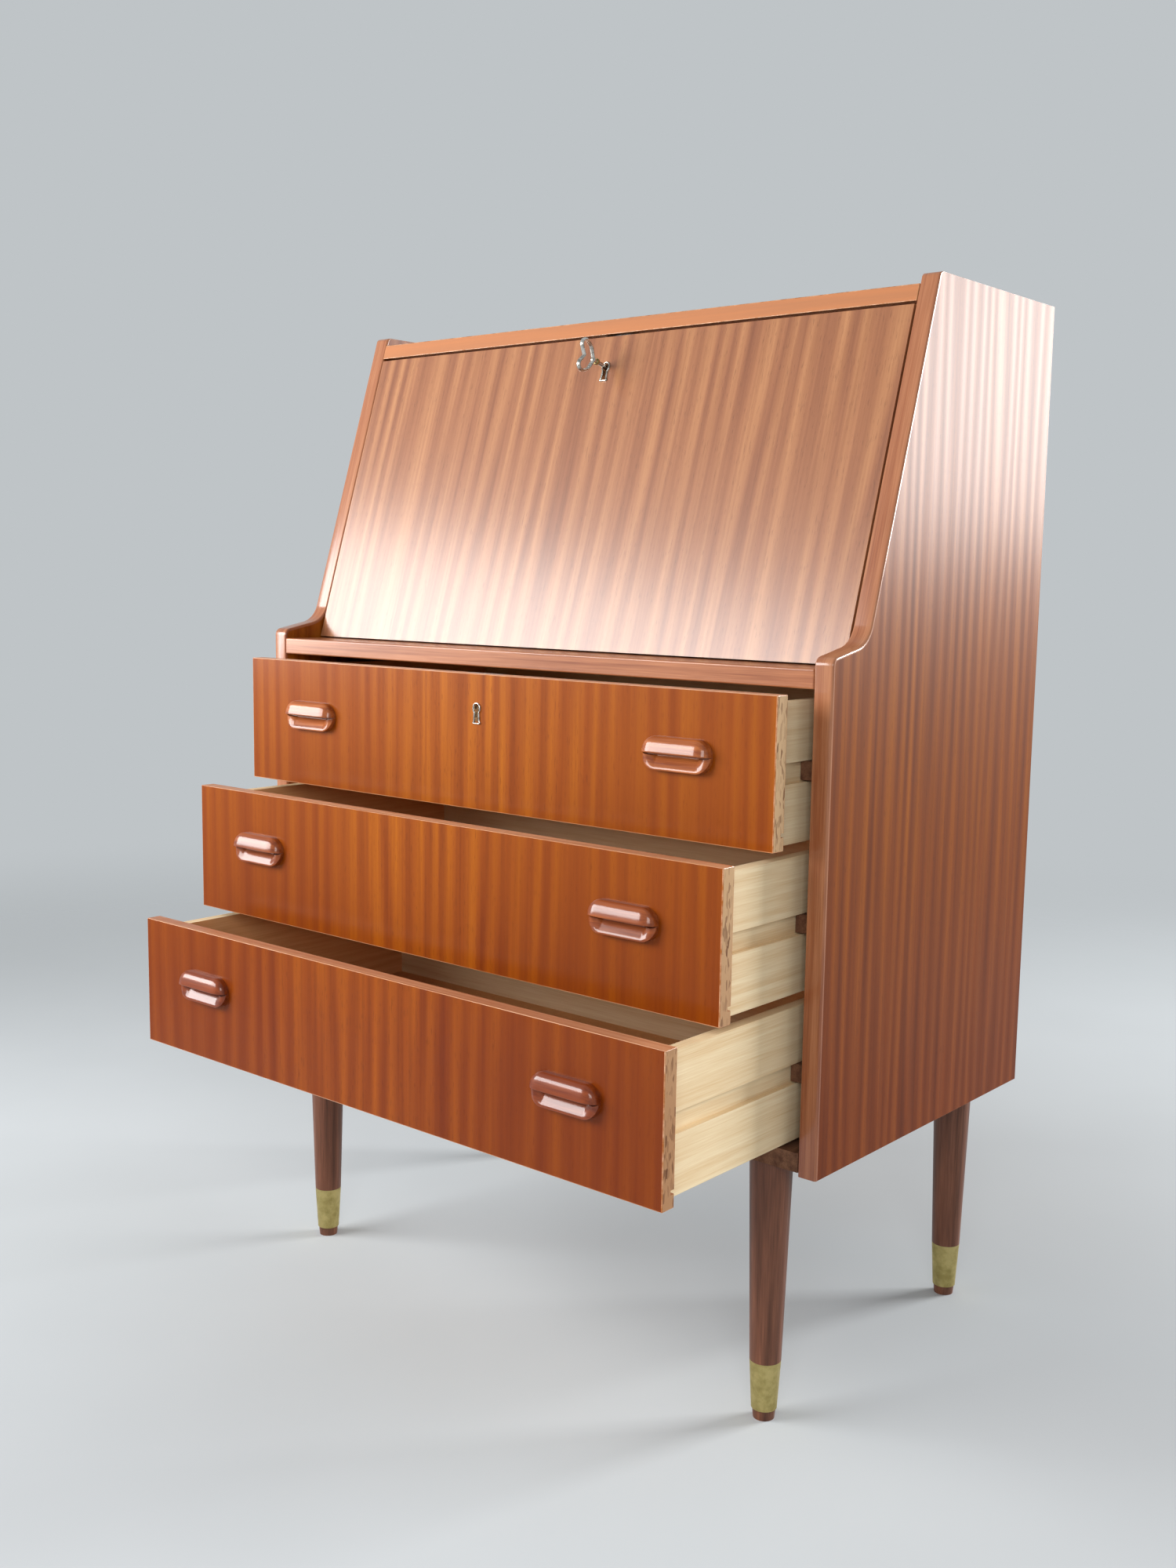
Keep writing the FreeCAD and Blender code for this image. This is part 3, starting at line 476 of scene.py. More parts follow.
def box_mm(node):
    """Return the low and the high corner of a CAD node in millimetres."""
    return [np.array(corner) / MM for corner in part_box(node)]


def grid_faces(rows, columns, ring=False, loop=False):
    """Return the quads of a grid of points; ring joins the last column to the first, loop the last row."""
    down = np.arange(rows if loop else rows - 1)[:, None]
    along = np.arange(columns if ring else columns - 1)[None, :]
    below = (down + 1) % rows
    beside = (along + 1) % columns
    quads = np.stack([
        down * columns + along,
        down * columns + beside,
        below * columns + beside,
        below * columns + along,
    ], axis=-1)
    return quads.reshape(-1, 4).tolist()


def rounded_path(corners, steps):
    """Return points along straight runs between corners (a, b, radius), each turned by an arc: on an arc the
    point is centre + radius * (cos, sin) of an angle that goes evenly from one tangent to the other."""
    points = np.array([corner[:2] for corner in corners], float)
    path = [points[:1]]
    for number in range(1, len(corners) - 1):
        radius = corners[number][2]
        ways = points[[number - 1, number + 1]] - points[number]
        before, after = (way / np.linalg.norm(way) for way in ways)
        half = np.arccos(np.clip(before @ after, -1, 1)) / 2
        middle = (before + after) / np.linalg.norm(before + after)
        centre = points[number] + middle * radius / np.sin(half)
        ends = (points[number] + way * radius / np.tan(half) - centre for way in (before, after))
        first, last = (np.arctan2(end[1], end[0]) for end in ends)
        turn = (last - first + np.pi) % (2 * np.pi) - np.pi
        angles = first + turn * np.linspace(0, 1, steps)
        path.append(centre + radius * np.stack([np.cos(angles), np.sin(angles)], axis=1))
    path.append(points[-1:])
    return np.concatenate(path)


def off_line(line, aside):
    """Return both coordinates of points that lie aside from a closed line, along its outward normal: the way
    from the point before to the point after, turned by a right angle."""
    forward = np.roll(line, -1, axis=0) - np.roll(line, 1, axis=0)
    forward /= np.linalg.norm(forward, axis=1, keepdims=True)
    return line[:, :1] + aside * forward[:, 1:], line[:, 1:] - aside * forward[:, :1]


def closed_grid(points, loop=False):
    """Return the points and faces of a grid whose rows are rings; without loop both ends get a cap."""
    rows, columns = points.shape[:2]
    faces = grid_faces(rows, columns, ring=True, loop=loop)
    if not loop:
        faces += [list(range(columns)), list(range((rows - 1) * columns, rows * columns))]
    return points.reshape(-1, 3), faces


def joined(*parts):
    """Put the points and faces of several shapes into one."""
    points, faces = [], []
    for more_points, more_faces in parts:
        start = sum(map(len, points))
        points.append(more_points)
        faces += [[start + corner for corner in face] for face in more_faces]
    return np.concatenate(points), faces


def located(origin, up, out, sideways, rise, reach):
    """Return points at origin + sideways along x + rise * up + reach * out, all in millimetres."""
    sideways, rise, reach = np.broadcast_arrays(sideways, rise, reach)
    along = np.array([1.0, 0.0, 0.0])
    return (
        np.asarray(origin) + sideways[..., None] * along + rise[..., None] * np.asarray(up)
        + reach[..., None] * np.asarray(out)
    )


def turned(origin, up, out, profile, steps=24):
    """Turn a profile of (reach, radius) about the axis out: at an angle a the point lies radius * cos a along
    x and radius * sin a along up."""
    reach, radius = np.array(profile, float).T[:, :, None]
    around = np.linspace(0, 2 * np.pi, steps, endpoint=False)
    return closed_grid(located(origin, up, out, radius * np.cos(around), radius * np.sin(around), reach))


def side_outline(depth, front, ledge, top, foot):
    """Return (y, z) along the front edge of a side, drawn back by depth: from the top down the slant, round
    the hollow and the nose of the shoulder, then straight down to the foot. The corner of the hollow is where
    the lines of slant and shoulder meet."""
    slope = np.tan(np.radians(SLANT_DEGREES))
    shoulder = np.tan(np.radians(SHOULDER_DEGREES))
    slant_start = front + LEDGE_DEPTH + depth * np.hypot(1, slope)
    shoulder_level = ledge + SHOULDER_RISE - depth * np.hypot(1, shoulder)
    level_at_start = shoulder_level + (slant_start - front - ledge * slope) * shoulder
    hollow_z = level_at_start / (1 - slope * shoulder)
    hollow_y = slant_start + (hollow_z - ledge) * slope
    top_y = slant_start + (top - ledge) * slope
    # The path starts behind the crown, at a point that is left out again
    lead = 60
    edge = front + depth
    return rounded_path((
        (top_y + lead, top),
        (top_y, top, CROWN_RADIUS),
        (hollow_y, hollow_z, HOLLOW_RADIUS + depth),
        (edge, shoulder_level + depth * shoulder, NOSE_RADIUS - depth),
        (edge, foot),
    ), 15)[1:]


def lipping(low, high, front, ledge, radius):
    """Carry the section of a lipping down the front edge of a side. The section is a strip as wide as the
    side, with rounded front edges; a point at depth d lies d / thickness of the way between the outlines."""
    thick = LIPPING_THICKNESS
    outer = side_outline(0, front, ledge, high[2], low[2])
    inner = side_outline(thick, front, ledge, high[2], low[2])
    half = (high[0] - low[0]) / 2
    turn = np.radians(np.linspace(0, 90, 6))
    arc_x = half - radius + radius * np.sin(turn)
    arc_d = radius - radius * np.cos(turn)
    across = np.concatenate([[-half], -arc_x[::-1], arc_x, [half]]) + (high[0] + low[0]) / 2
    depth = np.concatenate([[thick], arc_d[::-1], arc_d, [thick]]) / thick
    flat = outer[:, None] + (inner - outer)[:, None] * depth[None, :, None]
    sideways = np.broadcast_to(across[None, :, None], (*flat.shape[:2], 1))
    return closed_grid(np.concatenate([sideways, flat], axis=2))


def pull(low, high, face, lip_tilt, cove_tilt):
    """Carry the section of a carved pull along x. In the section the front looks up by lip_tilt at the lip, a
    little more up to its belly, and then turns over to the top. Under the rounded lip a half ellipse runs
    back to an upright wall, and below it the floor of the hollow slopes out to the rim. Towards the round
    ends, at an angle a, heights shrink by cos a and reaches by the root of 1 - sin a to the power 2.2, and
    the floor rises to the rim."""
    reach = face - low[1]
    half_height = (high[2] - low[2]) / 2
    half_width = (high[0] - low[0]) / 2
    end = 14.7
    base = 2.9
    lip, lip_rise = 1.0, 1.5
    belly, belly_turn, top_turn = 0.45, 11, 66
    ellipse_rise, ellipse_high, ellipse_reach, ellipse_deep = 0.4, 3.6, 6.3, 5.3
    wall = 1.0
    wall_rise = np.array([0.3, -0.9, -1.9])
    floor_top, floor_foot = -2.4, -13.4
    rim_round = 0.7
    sunk, top_setback = 0.3, 0.5
    end_bend, end_steps, end_power = 86, 18, 2.2
    inset = np.array([0, 0.5, 3])
    climb_share, climb_power = 0.7, 0.9

    # Front, from the top down to the lip
    up = np.linspace(1, 0, 26)
    over = np.clip((up - belly) / (1 - belly), 0, 1) ** 1.15
    tilt = lip_tilt + np.radians(belly_turn * np.clip(up / belly, 0, 1) + top_turn * over)
    step_rise = np.cumsum(np.cos(tilt)[::-1])[::-1]
    step_reach = np.cumsum(np.sin(tilt)[::-1])[::-1]
    start_rise = lip_rise + lip * np.sin(lip_tilt)
    start_reach = reach - lip + lip * np.cos(lip_tilt)
    scale = (half_height - start_rise) / (step_rise[0] - step_rise[-1])
    roll_rise = start_rise + (step_rise - step_rise[-1]) * scale
    roll_reach = start_reach - (step_reach - step_reach[-1]) * scale

    # Lip, hollow, floor and rim
    under = np.linspace(lip_tilt, np.radians(-110), 9)[1:]
    hollow = np.radians(np.linspace(8, 172, 12))
    floor_rise = np.linspace(floor_top, floor_foot, 8)
    floor_reach = wall + (floor_rise[0] - floor_rise) * np.tan(cove_tilt)
    rim = floor_reach[-1]
    corner = np.radians(np.linspace(90, 0, 5))
    rise = np.concatenate([
        [half_height, half_height], roll_rise, lip_rise + lip * np.sin(under),
        ellipse_rise + ellipse_high * np.sin(hollow), wall_rise, floor_rise,
        rim_round - half_height - rim_round * np.cos(corner), [-half_height],
    ])
    out = np.concatenate([
        [-sunk, roll_reach[0] - top_setback], roll_reach, reach - lip + lip * np.cos(under),
        ellipse_reach + ellipse_deep * np.cos(hollow), np.full(len(wall_rise), wall), floor_reach,
        rim - rim_round + rim_round * np.sin(corner), [-sunk],
    ])
    on_floor = np.zeros(len(rise), bool)
    after_floor = len(corner) + 1
    on_floor[-after_floor - len(floor_rise):-after_floor] = True

    # Along x: a round end, a straight middle and a round end
    bend = np.radians(np.concatenate([
        np.linspace(-end_bend, 0, end_steps), np.zeros(4), np.linspace(0, end_bend, end_steps),
    ]))[:, None]
    straight = half_width - end
    stations = np.concatenate([inset - straight, (straight - inset)[::-1]])
    along = np.repeat(stations, (end_steps, 1, 1, 1, 1, end_steps))
    across = (high[0] + low[0]) / 2 + along[:, None] + end * np.sin(bend)
    shrink = np.sqrt(1 - np.abs(np.sin(bend)) ** end_power)
    drawn = np.minimum(out, base) + np.maximum(out - base, 0) * shrink
    rim_level = base + (rim - base) * shrink
    climb = np.clip(np.abs(np.sin(bend)) / climb_share, 0, 1) ** climb_power
    drawn = np.where(on_floor, out + (rim_level - out) * climb, drawn)
    middle = (0, face, (high[2] + low[2]) / 2)
    return closed_grid(located(middle, *UPRIGHT, across, rise * np.cos(bend), drawn))


def keyhole_rim(origin, up, out, width):
    """Carry a round bead along the outline of a keyhole: point = outline + a * outward normal + b * out,
    where (a, b) runs over the half ellipse of the bead and back inside the hole."""
    high, sunk, deep, inside_share = 1.6, 0.2, 2.5, 0.6
    line = rounded_path(np.concatenate([KEYHOLE_HALF, KEYHOLE_HALF[::-1] * (-1, 1, 1)]), 8)[:-1]
    turn = np.radians(np.linspace(0, 180, 11))
    half = width / 2
    aside = np.concatenate([[half], half * np.cos(turn), [-half, -half * inside_share]])
    above = np.concatenate([[-sunk], high * np.sin(turn), [-deep, -deep]])
    return closed_grid(located(origin, up, out, *off_line(line, aside), above), loop=True)


def key_bow(origin, up, out, wire):
    """Carry a wire along the heart of a key's bow, in the plane of up and out: point = heart + wire * (cos a
    along the heart's normal, broad * sin a along x)."""
    broad = 1.4
    heart = rounded_path(np.concatenate([BOW_HALF, BOW_HALF[-2::-1] * (1, -1, 1)]), 9)[:-1]
    around = np.linspace(0, 2 * np.pi, 12, endpoint=False)
    reach, rise = off_line(heart, wire * np.cos(around))
    return closed_grid(located(origin, up, out, broad * wire * np.sin(around), rise, reach), loop=True)


def squared_foot(points):
    """Return the points of the fall front with a square foot that ends level, 1.5 mm above the rail. With t
    up the slope and s out of it from the pivot, the two arcs of the foot go to s = half the thickness on
    either side, and their ends to the level line t * cosine + s * sine = level."""
    up_slope, off_slope = (np.array(way) for way in SLANTED)
    foot_drop, arris, level = 4.5, 3.4, -6.8
    half = FLAP_THICKNESS / 2
    arc_top = arris - foot_drop
    slack = 0.01
    reach = points / MM - FLAP_PIVOT
    up = reach @ up_slope
    out = reach @ off_slope
    on_arc = (up < arc_top - slack) & (np.abs(out) > half - arris - slack)
    foot = on_arc | (up < slack - foot_drop)
    side = np.sign(out) * half
    end = (level - SLANT_SINE * side) / SLANT_COSINE
    lower = arc_top + (up - arc_top) / -arris * (end - arc_top)
    moved = points + ((lower - up)[:, None] * up_slope + (side - out)[:, None] * off_slope) * MM
    return np.where(foot[:, None], moved, points)


def read(items, name, width=1, kind=np.float32):
    """Read one value of every item of a mesh, width numbers to an item."""
    values = np.zeros(len(items) * width, kind)
    items.foreach_get(name, values)
    return values.reshape(-1, width) if width > 1 else values


def eased(node, material, width, worn=None, reshape=None):
    """Copy a board, join its triangles into whole faces and round the edges where two outermost faces meet. A
    face is outermost where no point of the board lies beyond its plane. Roundings can have a worn finish."""
    one_face_angle, sharp_cosine, flush = 0.003, 0.85, 0.02 * MM
    mesh = frame["nodes"][node].data.copy()
    mesh.name = f"eased_{node}"
    if reshape:
        moved = reshape(read(mesh.vertices, "co", 3))
        mesh.vertices.foreach_set("co", moved.astype(np.float32).ravel())
    work = bmesh.new()
    work.from_mesh(mesh)
    bmesh.ops.remove_doubles(work, verts=work.verts, dist=SAME_PLACE)
    bmesh.ops.dissolve_limit(work, angle_limit=one_face_angle, verts=work.verts, edges=work.edges)
    work.to_mesh(mesh)
    work.free()
    mesh.attributes.remove(mesh.attributes["custom_normal"])
    points = read(mesh.vertices, "co", 3)
    normals = read(mesh.polygons, "normal", 3)
    counts, starts = (read(mesh.polygons, f"loop_{name}", kind=np.int32) for name in ("total", "start"))
    corner_point, corner_edge = (
        read(mesh.loops, f"{name}_index", kind=np.int32) for name in ("vertex", "edge")
    )
    reach = (normals @ points.T).max(axis=1)
    level = (normals * points[corner_point[starts]]).sum(axis=1)
    outermost = reach - level < flush
    face_of_corner = np.repeat(np.arange(len(counts)), counts)
    pairs = face_of_corner[np.argsort(corner_edge, kind="stable")].reshape(-1, 2)
    sharp = (normals[pairs[:, 0]] * normals[pairs[:, 1]]).sum(axis=1) < sharp_cosine
    rounded = outermost[pairs].all(axis=1) & sharp
    weight = mesh.attributes.new("bevel_weight_edge", "FLOAT", "EDGE")
    weight.data.foreach_set("value", rounded.astype(np.float32))
    mesh.edges.foreach_set("use_edge_sharp", sharp & ~rounded)
    mesh.polygons.foreach_set("use_smooth", np.ones(len(mesh.polygons), bool))
    piece = in_scene(f"eased_{node}", mesh)
    bevel = piece.modifiers.new("easing", "BEVEL")
    bevel.limit_method = "WEIGHT"
    bevel.width = width
    bevel.segments = 3
    bevel.harden_normals = True
    settle(piece, material, node)
    if worn:
        piece.data.materials.append(worn)
        bevel.material = 1


def tones_of(finish, board):
    """Return the dark, the middle and the light colour of a veneered board."""
    return [getattr(finish, f"{board}_{shade}") for shade in ("dark", "middle", "light")]


class ESCRITOIRE_OT_boards(bpy.types.Operator):
    """Veneer the sides, the top, the fall front and the desk bed, and ease their edges"""

    bl_idname = "escritoire.boards"
    bl_label = "Veneered boards"

    def execute(self, context):
        finish = context.scene.escritoire.veneer
        wood = context.scene.escritoire.wood
        side_ribbon = finish.ribbon * 0.75
        side = veneer(
            "sapele_veneer_sides", tones_of(finish, "side"), "Y", side_ribbon, coat=0.21, coat_rough=0.29
        )
        # Painted shade: the sides darken and redden towards the floor
        painted_shade_below(side, 0.3, 0.8, 0.8)
        flap = veneer(
            "sapele_veneer_fall_front", tones_of(finish, "flap"), "X", finish.ribbon, coat=1.0,
            coat_rough=0.24,
        )
        top = veneer(
            "sapele_veneer_top", tones_of(finish, "flap"), "Y", finish.ribbon, coat=0.3, coat_rough=0.34
        )
        # A solid strip, its grain along x, covers the front edge of the top
        tree, shader, place, face = opened(top)
        strip = grain_lines(tree, place, "YZ", 6, 260, wood.lipping_light, wood.edge_dark)[1]
        facing = add(tree, "ShaderNodeSeparateXYZ", links={0: place["Normal"]})
        ahead = add(tree, "ShaderNodeMath", {"operation": "LESS_THAN"}, {1: -0.6}, {0: facing.outputs["Y"]})
        whole = add(
            tree, "ShaderNodeMix", COLOURS, links={0: ahead, COLOUR_A: face, COLOUR_B: strip}
        ).outputs[COLOUR_OUT]
        link(tree, whole, shader.inputs["Base Color"])
        # Along the eased edges the stain is rubbed through to the paler wood
        worn = solid_wood("sapele_rubbed_edges", finish.side_light, wood.edge_light, "XY", width_mm=9)
        for name in SIDES:
            eased(f"side_panel_{name}", side, finish.easing, worn)
        eased("flap_panel", flap, finish.easing, worn, squared_foot)
        eased("top_board", top, finish.easing, worn)
        eased("desk_bed", top, finish.easing)
        return {"FINISHED"}


class ESCRITOIRE_OT_fronts(bpy.types.Operator):
    """Veneer the drawer fronts, with a solid strip on the top edge and raw ends"""

    bl_idname = "escritoire.fronts"
    bl_label = "Drawer fronts"

    def execute(self, context):
        finish = context.scene.escritoire.veneer
        wood = context.scene.escritoire.wood
        material = veneer(
            "sapele_veneer_drawer_fronts", tones_of(finish, "front"), "X", finish.ribbon, coat=0.28
        )
        tree, shader, place, face = opened(material)
        facing = add(tree, "ShaderNodeSeparateXYZ", links={0: place["Normal"]}).outputs
        where = add(tree, "ShaderNodeSeparateXYZ", links={0: place["Object"]}).outputs
        off_middle, sideways = (
            add(tree, "ShaderNodeMath", {"operation": "ABSOLUTE"}, links={0: source["X"]})
            for source in (where, facing)
        )
        # Painted shade: the fronts darken towards both ends
        end_shade = add(
            tree, "ShaderNodeMapRange", {"interpolation_type": "SMOOTHSTEP"},
            values=dict(zip(RANGE, (0.0, 0.24, 0.0, 0.55))), links={0: off_middle},
        )
        whole = add(
            tree, "ShaderNodeMix", COLOURS, values={COLOUR_B: (*finish.front_dark, 1)},
            links={0: end_shade, COLOUR_A: face},
        ).outputs[COLOUR_OUT]
        # The raw ends show the chips of the board, which lie along it: 2 mm thick and 7 mm long
        drawn = add(
            tree, "ShaderNodeMapping", values={"Scale": (500, 500, 140)},
            links={"Vector": place["Object"]},
        )
        chips = add(
            tree, "ShaderNodeTexVoronoi", values={"Scale": 1.0, "Randomness": 1.0}, links={"Vector": drawn}
        )
        chip = add(
            tree, "ShaderNodeValToRGB", links={0: chips.outputs["Color"]},
            stops=((0.08, wood.chip_dark), (0.4, wood.chip_light)),
        )
        # A thin strip, its grain along x, covers the top edge, and inside there is a plain brown backing
        strip = grain_lines(tree, place, "YZ", 5, 240, wood.edge_dark, wood.edge_light)[1]
        backing = (*wood.board_dark, 1)
        for source, values, links in (
            (facing["Z"], {}, {COLOUR_B: strip}),
            (sideways, {}, {COLOUR_B: chip}),
            (facing["Y"], {COLOUR_B: backing}, {}),
        ):
            mask = add(tree, "ShaderNodeMath", {"operation": "GREATER_THAN"}, {1: 0.75}, {0: source})
            whole = add(
                tree, "ShaderNodeMix", COLOURS, values, {0: mask, COLOUR_A: whole, **links}
            ).outputs[COLOUR_OUT]
        link(tree, whole, shader.inputs["Base Color"])
        # Painted shade: the lower fronts darken and redden, as less light reaches them
        painted_shade_below(material, 0.35, 0.62, 0.75)
        worn = solid_wood("sapele_rubbed_front_edges", finish.front_light, wood.edge_light, "YZ", width_mm=9)
        for drawer in DRAWERS:
            eased(f"{drawer}_front", material, finish.easing, worn)
        return {"FINISHED"}


class ESCRITOIRE_OT_edges(bpy.types.Operator):
    """Make the rail and the rounded lippings along the front edges of the sides"""

    bl_idname = "escritoire.edges"
    bl_label = "Rail and lippings"

    def execute(self, context):
        wood = context.scene.escritoire.wood
        upright = solid_wood(
            "mahogany_lipping", wood.lipping_dark, wood.lipping_light, "X", coat_rough=0.16, width_mm=8
        )
        # Painted shade: the lippings darken lower down, beside the drawers that keep the light off
        painted_shade_below(upright, 0.3, 0.6, 0.5)
        across = solid_wood(
            "mahogany_rail", wood.lipping_dark, wood.edge_dark, "YZ", coat_rough=0.2, width_mm=4
        )
        eased("front_rail", across, 2 * context.scene.escritoire.veneer.easing)
        rail_low, rail_high = box_mm("front_rail")
        for name in SIDES:
            low, high = box_mm(f"side_lipping_{name}")
            shape = lipping(low, high, rail_low[1], rail_high[2], wood.lipping_round / MM)
            make_piece(f"lipping_{name}", *shape, upright, f"side_lipping_{name}")
        return {"FINISHED"}


class ESCRITOIRE_OT_inside(bpy.types.Operator):
    """Finish the drawer boxes, the runners, the pigeonholes, the back and the bottom board"""

    bl_idname = "escritoire.inside"
    bl_label = "Drawer boxes and inside"

    def execute(self, context):
        wood = context.scene.escritoire.wood
        easing = context.scene.escritoire.veneer.easing
        pale = solid_wood(
            "beech_drawer_sides", wood.box_dark, wood.box_light, "XZ", coat=0.0, rough=0.62,
            width_mm=6, run_mm=340,
        )
        # Inside, where they face the middle, the drawer sides are tinted a warm brown: painted shade for the
        # dim, warm light inside the drawers
        tree, _, place, _ = opened(pale)
        facing, where = (
            add(tree, "ShaderNodeSeparateXYZ", links={0: place[source]}).outputs["X"]
            for source in ("Normal", "Object")
        )
        outwards = add(tree, "ShaderNodeMath", {"operation": "MULTIPLY"}, links={0: facing, 1: where})
        inner_face = add(tree, "ShaderNodeMath", {"operation": "LESS_THAN"}, {1: -0.2}, {0: outwards})
        tinted(pale, inner_face, (1.0, 0.66, 0.46))
        pale_across = solid_wood(
            "beech_drawer_backs", wood.box_dark, wood.box_light, "YZ", coat=0.0, rough=0.62,
            width_mm=9, run_mm=420,
        )
        # Painted shade: the runners are dark brown where their ends sit in the shadow beside the drawers, and
        # the bottom board shares that colour
        dark_beech = solid_wood(
            "beech_runners_dark_as_shade", wood.runner_dark, wood.runner_light, "XZ", coat=0.0, rough=0.6
        )
        shelf, dividers = (
            solid_wood(name, wood.edge_dark, wood.edge_light, across, coat=0.3, rough=0.5)
            for name, across in (("mahogany_pigeonholes", "YZ"), ("mahogany_dividers", "XY"))
        )
        brown = hardboard("hardboard_pressed", wood.board_dark, wood.board_light)
        for drawer in DRAWERS:
            for name in SIDES:
                eased(f"{drawer}_side_{name}", pale, easing)
            dress(pale_across, f"{drawer}_back")
            dress(brown, f"{drawer}_bottom")
            dress(dark_beech, f"{drawer}_runners")
        dress(shelf, "pigeonhole_shelf", "flap_stop")
        dress(dividers, "pigeonhole_dividers")
        dress(hardboard("hardboard_back_panel", wood.back_dark, wood.back_light), "back_panel")
        dress(dark_beech, "bottom_board")
        return {"FINISHED"}


class ESCRITOIRE_OT_pulls(bpy.types.Operator):
    """Carve the lip pulls"""

    bl_idname = "escritoire.pulls"
    bl_label = "Pulls"

    def execute(self, context):
        wood = context.scene.escritoire.wood
        carved = solid_wood(
            "mahogany_carved_pulls", wood.pull_dark, wood.pull_light, "YZ", coat=0.75, coat_rough=0.14,
            rough=0.4, width_mm=5, run_mm=90,
        )
        # Painted shade: the lower pulls darken and redden, as less light reaches them
        painted_shade_below(carved, 0.42, 0.62, 1.0)
        for drawer in DRAWERS:
            face = box_mm(f"{drawer}_front")[0][1]
            for name in SIDES:
                node = f"{drawer}_handle_{name}"
                shape = pull(*box_mm(node), face, wood.lip_tilt, wood.cove_tilt)
                make_piece(f"carved_{node}", *shape, carved, node)
        return {"FINISHED"}


class ESCRITOIRE_OT_legs(bpy.types.Operator):
    """Finish the turned legs and their ferrules"""

    bl_idname = "escritoire.legs"
    bl_label = "Legs and ferrules"

    def execute(self, context):
        wood = context.scene.escritoire.wood
        dark_beech = solid_wood(
            "beech_stained_legs", wood.leg_dark, wood.leg_light, "XY", coat=0.5, coat_rough=0.35, rough=0.5,
            width_mm=6, run_mm=200,
        )
        dress(dark_beech, *(f"{end}_{side}_leg" for end in ("front", "back") for side in SIDES))
        brass = metal("brass_aged_ferrules", context.scene.escritoire.metal.brass, 0.45, 14, "#a4955c")
        dress(brass, "leg_ferrules")
        return {"FINISHED"}


class ESCRITOIRE_OT_metalware(bpy.types.Operator):
    """Make the keyhole rims and the key, and finish the locks and the pivot pins"""

    bl_idname = "escritoire.metalware"
    bl_label = "Key and locks"

    def execute(self, context):
        metals = context.scene.escritoire.metal
        nickel = metal("nickel_plated_rims", metals.nickel, 0.2, 4, "#8f8a80")
        steel = metal("steel_locks", metals.steel, 0.38, 9, "#8b8985")
        polished = metal("nickel_plated_key", metals.nickel, 0.24, 4, "#8f8a80")
        pins = metal("brass_pins", metals.brass, 0.3, 5, "#6d6040")
        width = metals.rim_width / MM
        drawer_keyhole = (0, box_mm("top_drawer_front")[0][1], DRAWER_KEYHOLE_LEVEL)
        rim = keyhole_rim(drawer_keyhole, *UPRIGHT, width)
        make_piece("keyhole_rim_drawer", *rim, nickel, "top_drawer_escutcheon")
        rim = keyhole_rim(FLAP_KEYHOLE, *SLANTED, width)
        make_piece("keyhole_rim_flap", *rim, nickel, "flap_escutcheon")
        droop = np.radians(DROOP_DEGREES)
        up, out = (np.array(way) for way in SLANTED)
        key = (
            FLAP_KEYHOLE,
            np.cos(droop) * up + np.sin(droop) * out,
            np.cos(droop) * out - np.sin(droop) * up,
        )
        thick = np.array([[-BIT_HALF], [BIT_HALF]])
        shape = joined(
            key_bow(*key, metals.bow_wire / MM),
            turned(*key, STEM),
            closed_grid(located(*key, thick, BIT[:, 0], BIT[:, 1])),
        )
        make_piece("key_with_heart_bow", *shape, polished, "flap_key")
        make_piece("key_collar", *turned(*key, COLLAR), pins, "flap_key", False)
        dress(
            steel, "flap_lock_case", "flap_lock_bolt", "flap_strike_plate", "drawer_strike_plate",
            "top_drawer_lock_case", "top_drawer_lock_bolt",
        )
        dress(pins, "flap_pivot_pins")
        return {"FINISHED"}


def stand(item, place, sideways, upward, backward, roll):
    """Place a light or a camera that looks against backward, its other two axes rolled about that one."""
    matrix = np.eye(4)
    matrix[:3, 0] = np.cos(roll) * sideways + np.sin(roll) * upward
    matrix[:3, 1] = np.cos(roll) * upward - np.sin(roll) * sideways
    matrix[:3, 2] = backward
    matrix[:3, 3] = place
    item.matrix_world = Matrix(matrix.tolist())


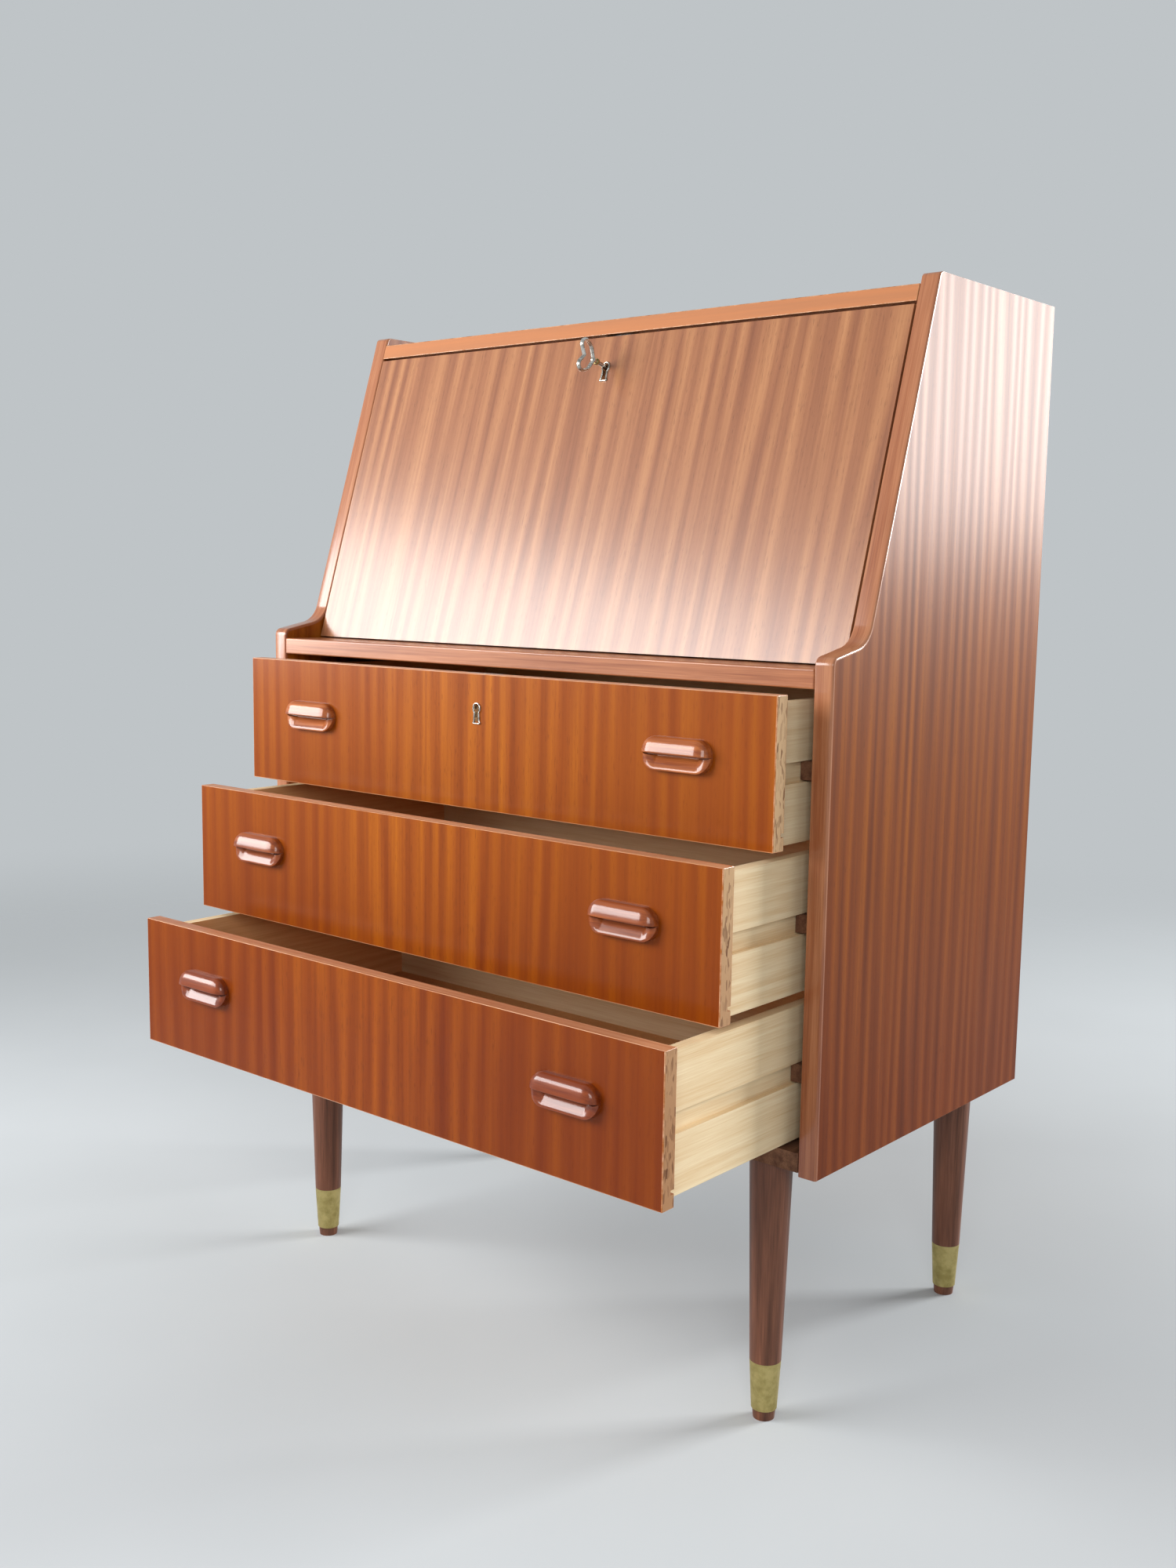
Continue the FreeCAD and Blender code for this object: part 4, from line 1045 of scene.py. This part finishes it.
class ESCRITOIRE_OT_stage(bpy.types.Operator):
    """Set the floor, the lights and the camera"""

    bl_idname = "escritoire.stage"
    bl_label = "Stage"

    def execute(self, context):
        scene = context.scene
        stage = scene.escritoire.stage
        # Matt paint, rolled on: a faint orange-peel in the shade
        paint, tree, shader, place = new_material("matt_paint_floor", Roughness=0.9, Specular_IOR_Level=0.1)
        peel = add(
            tree, "ShaderNodeTexNoise", values={"Scale": 3.0, "Detail": 3.0},
            links={"Vector": place["Object"]},
        ).outputs["Fac"]
        shade = add(tree, "ShaderNodeValToRGB", links={0: peel}, stops=(
            (0.2, [part * 0.97 for part in stage.floor]),
            (0.8, [min(1, part * 1.02) for part in stage.floor]),
        ))
        link(tree, shade, shader.inputs["Base Color"])
        # Away from the desk the floor fades into the background
        reach = add(
            tree, "ShaderNodeVectorMath", {"operation": "LENGTH"}, links={0: place["Object"]}
        ).outputs["Value"]
        fade = add(
            tree, "ShaderNodeMapRange", {"interpolation_type": "SMOOTHSTEP"},
            values=dict(zip(RANGE, (0.9, 3.2, 0.0, 1.0))), links={0: reach},
        )
        clear = add(tree, "ShaderNodeBsdfTransparent")
        both = add(tree, "ShaderNodeMixShader", links={0: fade, 1: shader, 2: clear})
        link(tree, both, tree.nodes["Material Output"].inputs["Surface"])
        ticks = np.linspace(-FLOOR_HALF, FLOOR_HALF, FLOOR_LINES)
        across, deep = np.meshgrid(ticks, ticks)
        flat = np.stack([across.ravel(), deep.ravel(), np.zeros(across.size)], axis=1)
        mesh = bpy.data.meshes.new("floor")
        mesh.from_pydata(flat.tolist(), [], grid_faces(FLOOR_LINES, FLOOR_LINES))
        mesh.materials.append(paint)
        floor = in_scene("floor", mesh)

        # The background is seen and mirrored, and a plain white light comes from all around
        world = bpy.data.worlds.new("studio")
        scene.world = world
        world.use_nodes = True
        tree = world.node_tree
        tree.nodes.clear()
        path = add(tree, "ShaderNodeLightPath").outputs
        seen = add(
            tree, "ShaderNodeMath", {"operation": "MAXIMUM"},
            links={0: path["Is Camera Ray"], 1: path["Is Glossy Ray"]},
        )
        ambient, backdrop = (
            add(tree, "ShaderNodeBackground", values={"Color": (*shade, 1), "Strength": strength})
            for shade, strength in (((1, 1, 1), AMBIENT), (stage.floor, 1.0))
        )
        mixed = add(tree, "ShaderNodeMixShader", links={0: seen, 1: ambient, 2: backdrop})
        add(tree, "ShaderNodeOutputWorld", links={"Surface": mixed})

        for name, start, target, wide, high, roll, power in LAMPS:
            lamp = bpy.data.lights.new(name, "AREA")
            lamp.shape = "RECTANGLE"
            lamp.size = wide
            lamp.size_y = high
            lamp.energy = power
            backward = np.array(start) - np.array(target)
            backward /= np.linalg.norm(backward)
            sideways = np.cross((0, 0, 1), backward)
            sideways /= np.linalg.norm(sideways)
            upward = np.cross(backward, sideways)
            stand(in_scene(name, lamp), start, sideways, upward, backward, np.radians(roll))

        ahead = np.array([
            -np.sin(CAMERA_YAW) * np.cos(CAMERA_PITCH),
            np.cos(CAMERA_YAW) * np.cos(CAMERA_PITCH),
            -np.sin(CAMERA_PITCH),
        ])
        right = np.array([np.cos(CAMERA_YAW), np.sin(CAMERA_YAW), 0])
        lens = bpy.data.cameras.new("camera")
        lens.lens = stage.lens
        lens.sensor_width = 36
        lens.clip_start = 0.05
        camera = in_scene("camera", lens)
        stand(camera, CAMERA_PLACE, right, np.cross(right, ahead), -ahead, CAMERA_ROLL)
        scene.camera = camera
        scene.view_settings.view_transform = "Standard"
        return {"FINISHED"}


class ESCRITOIRE_PT_panel(bpy.types.Panel):
    """Buttons and settings of the desk"""

    bl_idname = "ESCRITOIRE_PT_panel"
    bl_label = "Escritoire"
    bl_space_type = "VIEW_3D"
    bl_region_type = "UI"
    bl_category = "Escritoire"

    def draw(self, context):
        for operator in OPERATORS:
            self.layout.operator(operator.bl_idname)
        settings = context.scene.escritoire
        for group in (settings.veneer, settings.wood, settings.metal, settings.stage):
            for name in group.bl_rna.properties.keys():
                if name not in ("rna_type", "name"):
                    self.layout.prop(group, name)


OPERATORS = (
    ESCRITOIRE_OT_boards,
    ESCRITOIRE_OT_fronts,
    ESCRITOIRE_OT_edges,
    ESCRITOIRE_OT_inside,
    ESCRITOIRE_OT_pulls,
    ESCRITOIRE_OT_legs,
    ESCRITOIRE_OT_metalware,
    ESCRITOIRE_OT_stage,
)
CLASSES = (
    VeneerSettings, WoodSettings, MetalSettings, StageSettings, EscritoireSettings, *OPERATORS,
    ESCRITOIRE_PT_panel,
)


def register():
    """Register the classes and the settings of the scene."""
    for item in CLASSES:
        bpy.utils.register_class(item)
    bpy.types.Scene.escritoire = PointerProperty(type=EscritoireSettings)


def unregister():
    """Take the settings and the classes away again."""
    del bpy.types.Scene.escritoire
    for item in reversed(CLASSES):
        bpy.utils.unregister_class(item)


def main():
    """Build the desk in order."""
    register()
    for operator in OPERATORS:
        group, name = operator.bl_idname.split(".")
        getattr(getattr(bpy.ops, group), name)()


if __name__ == "__main__":
    main()
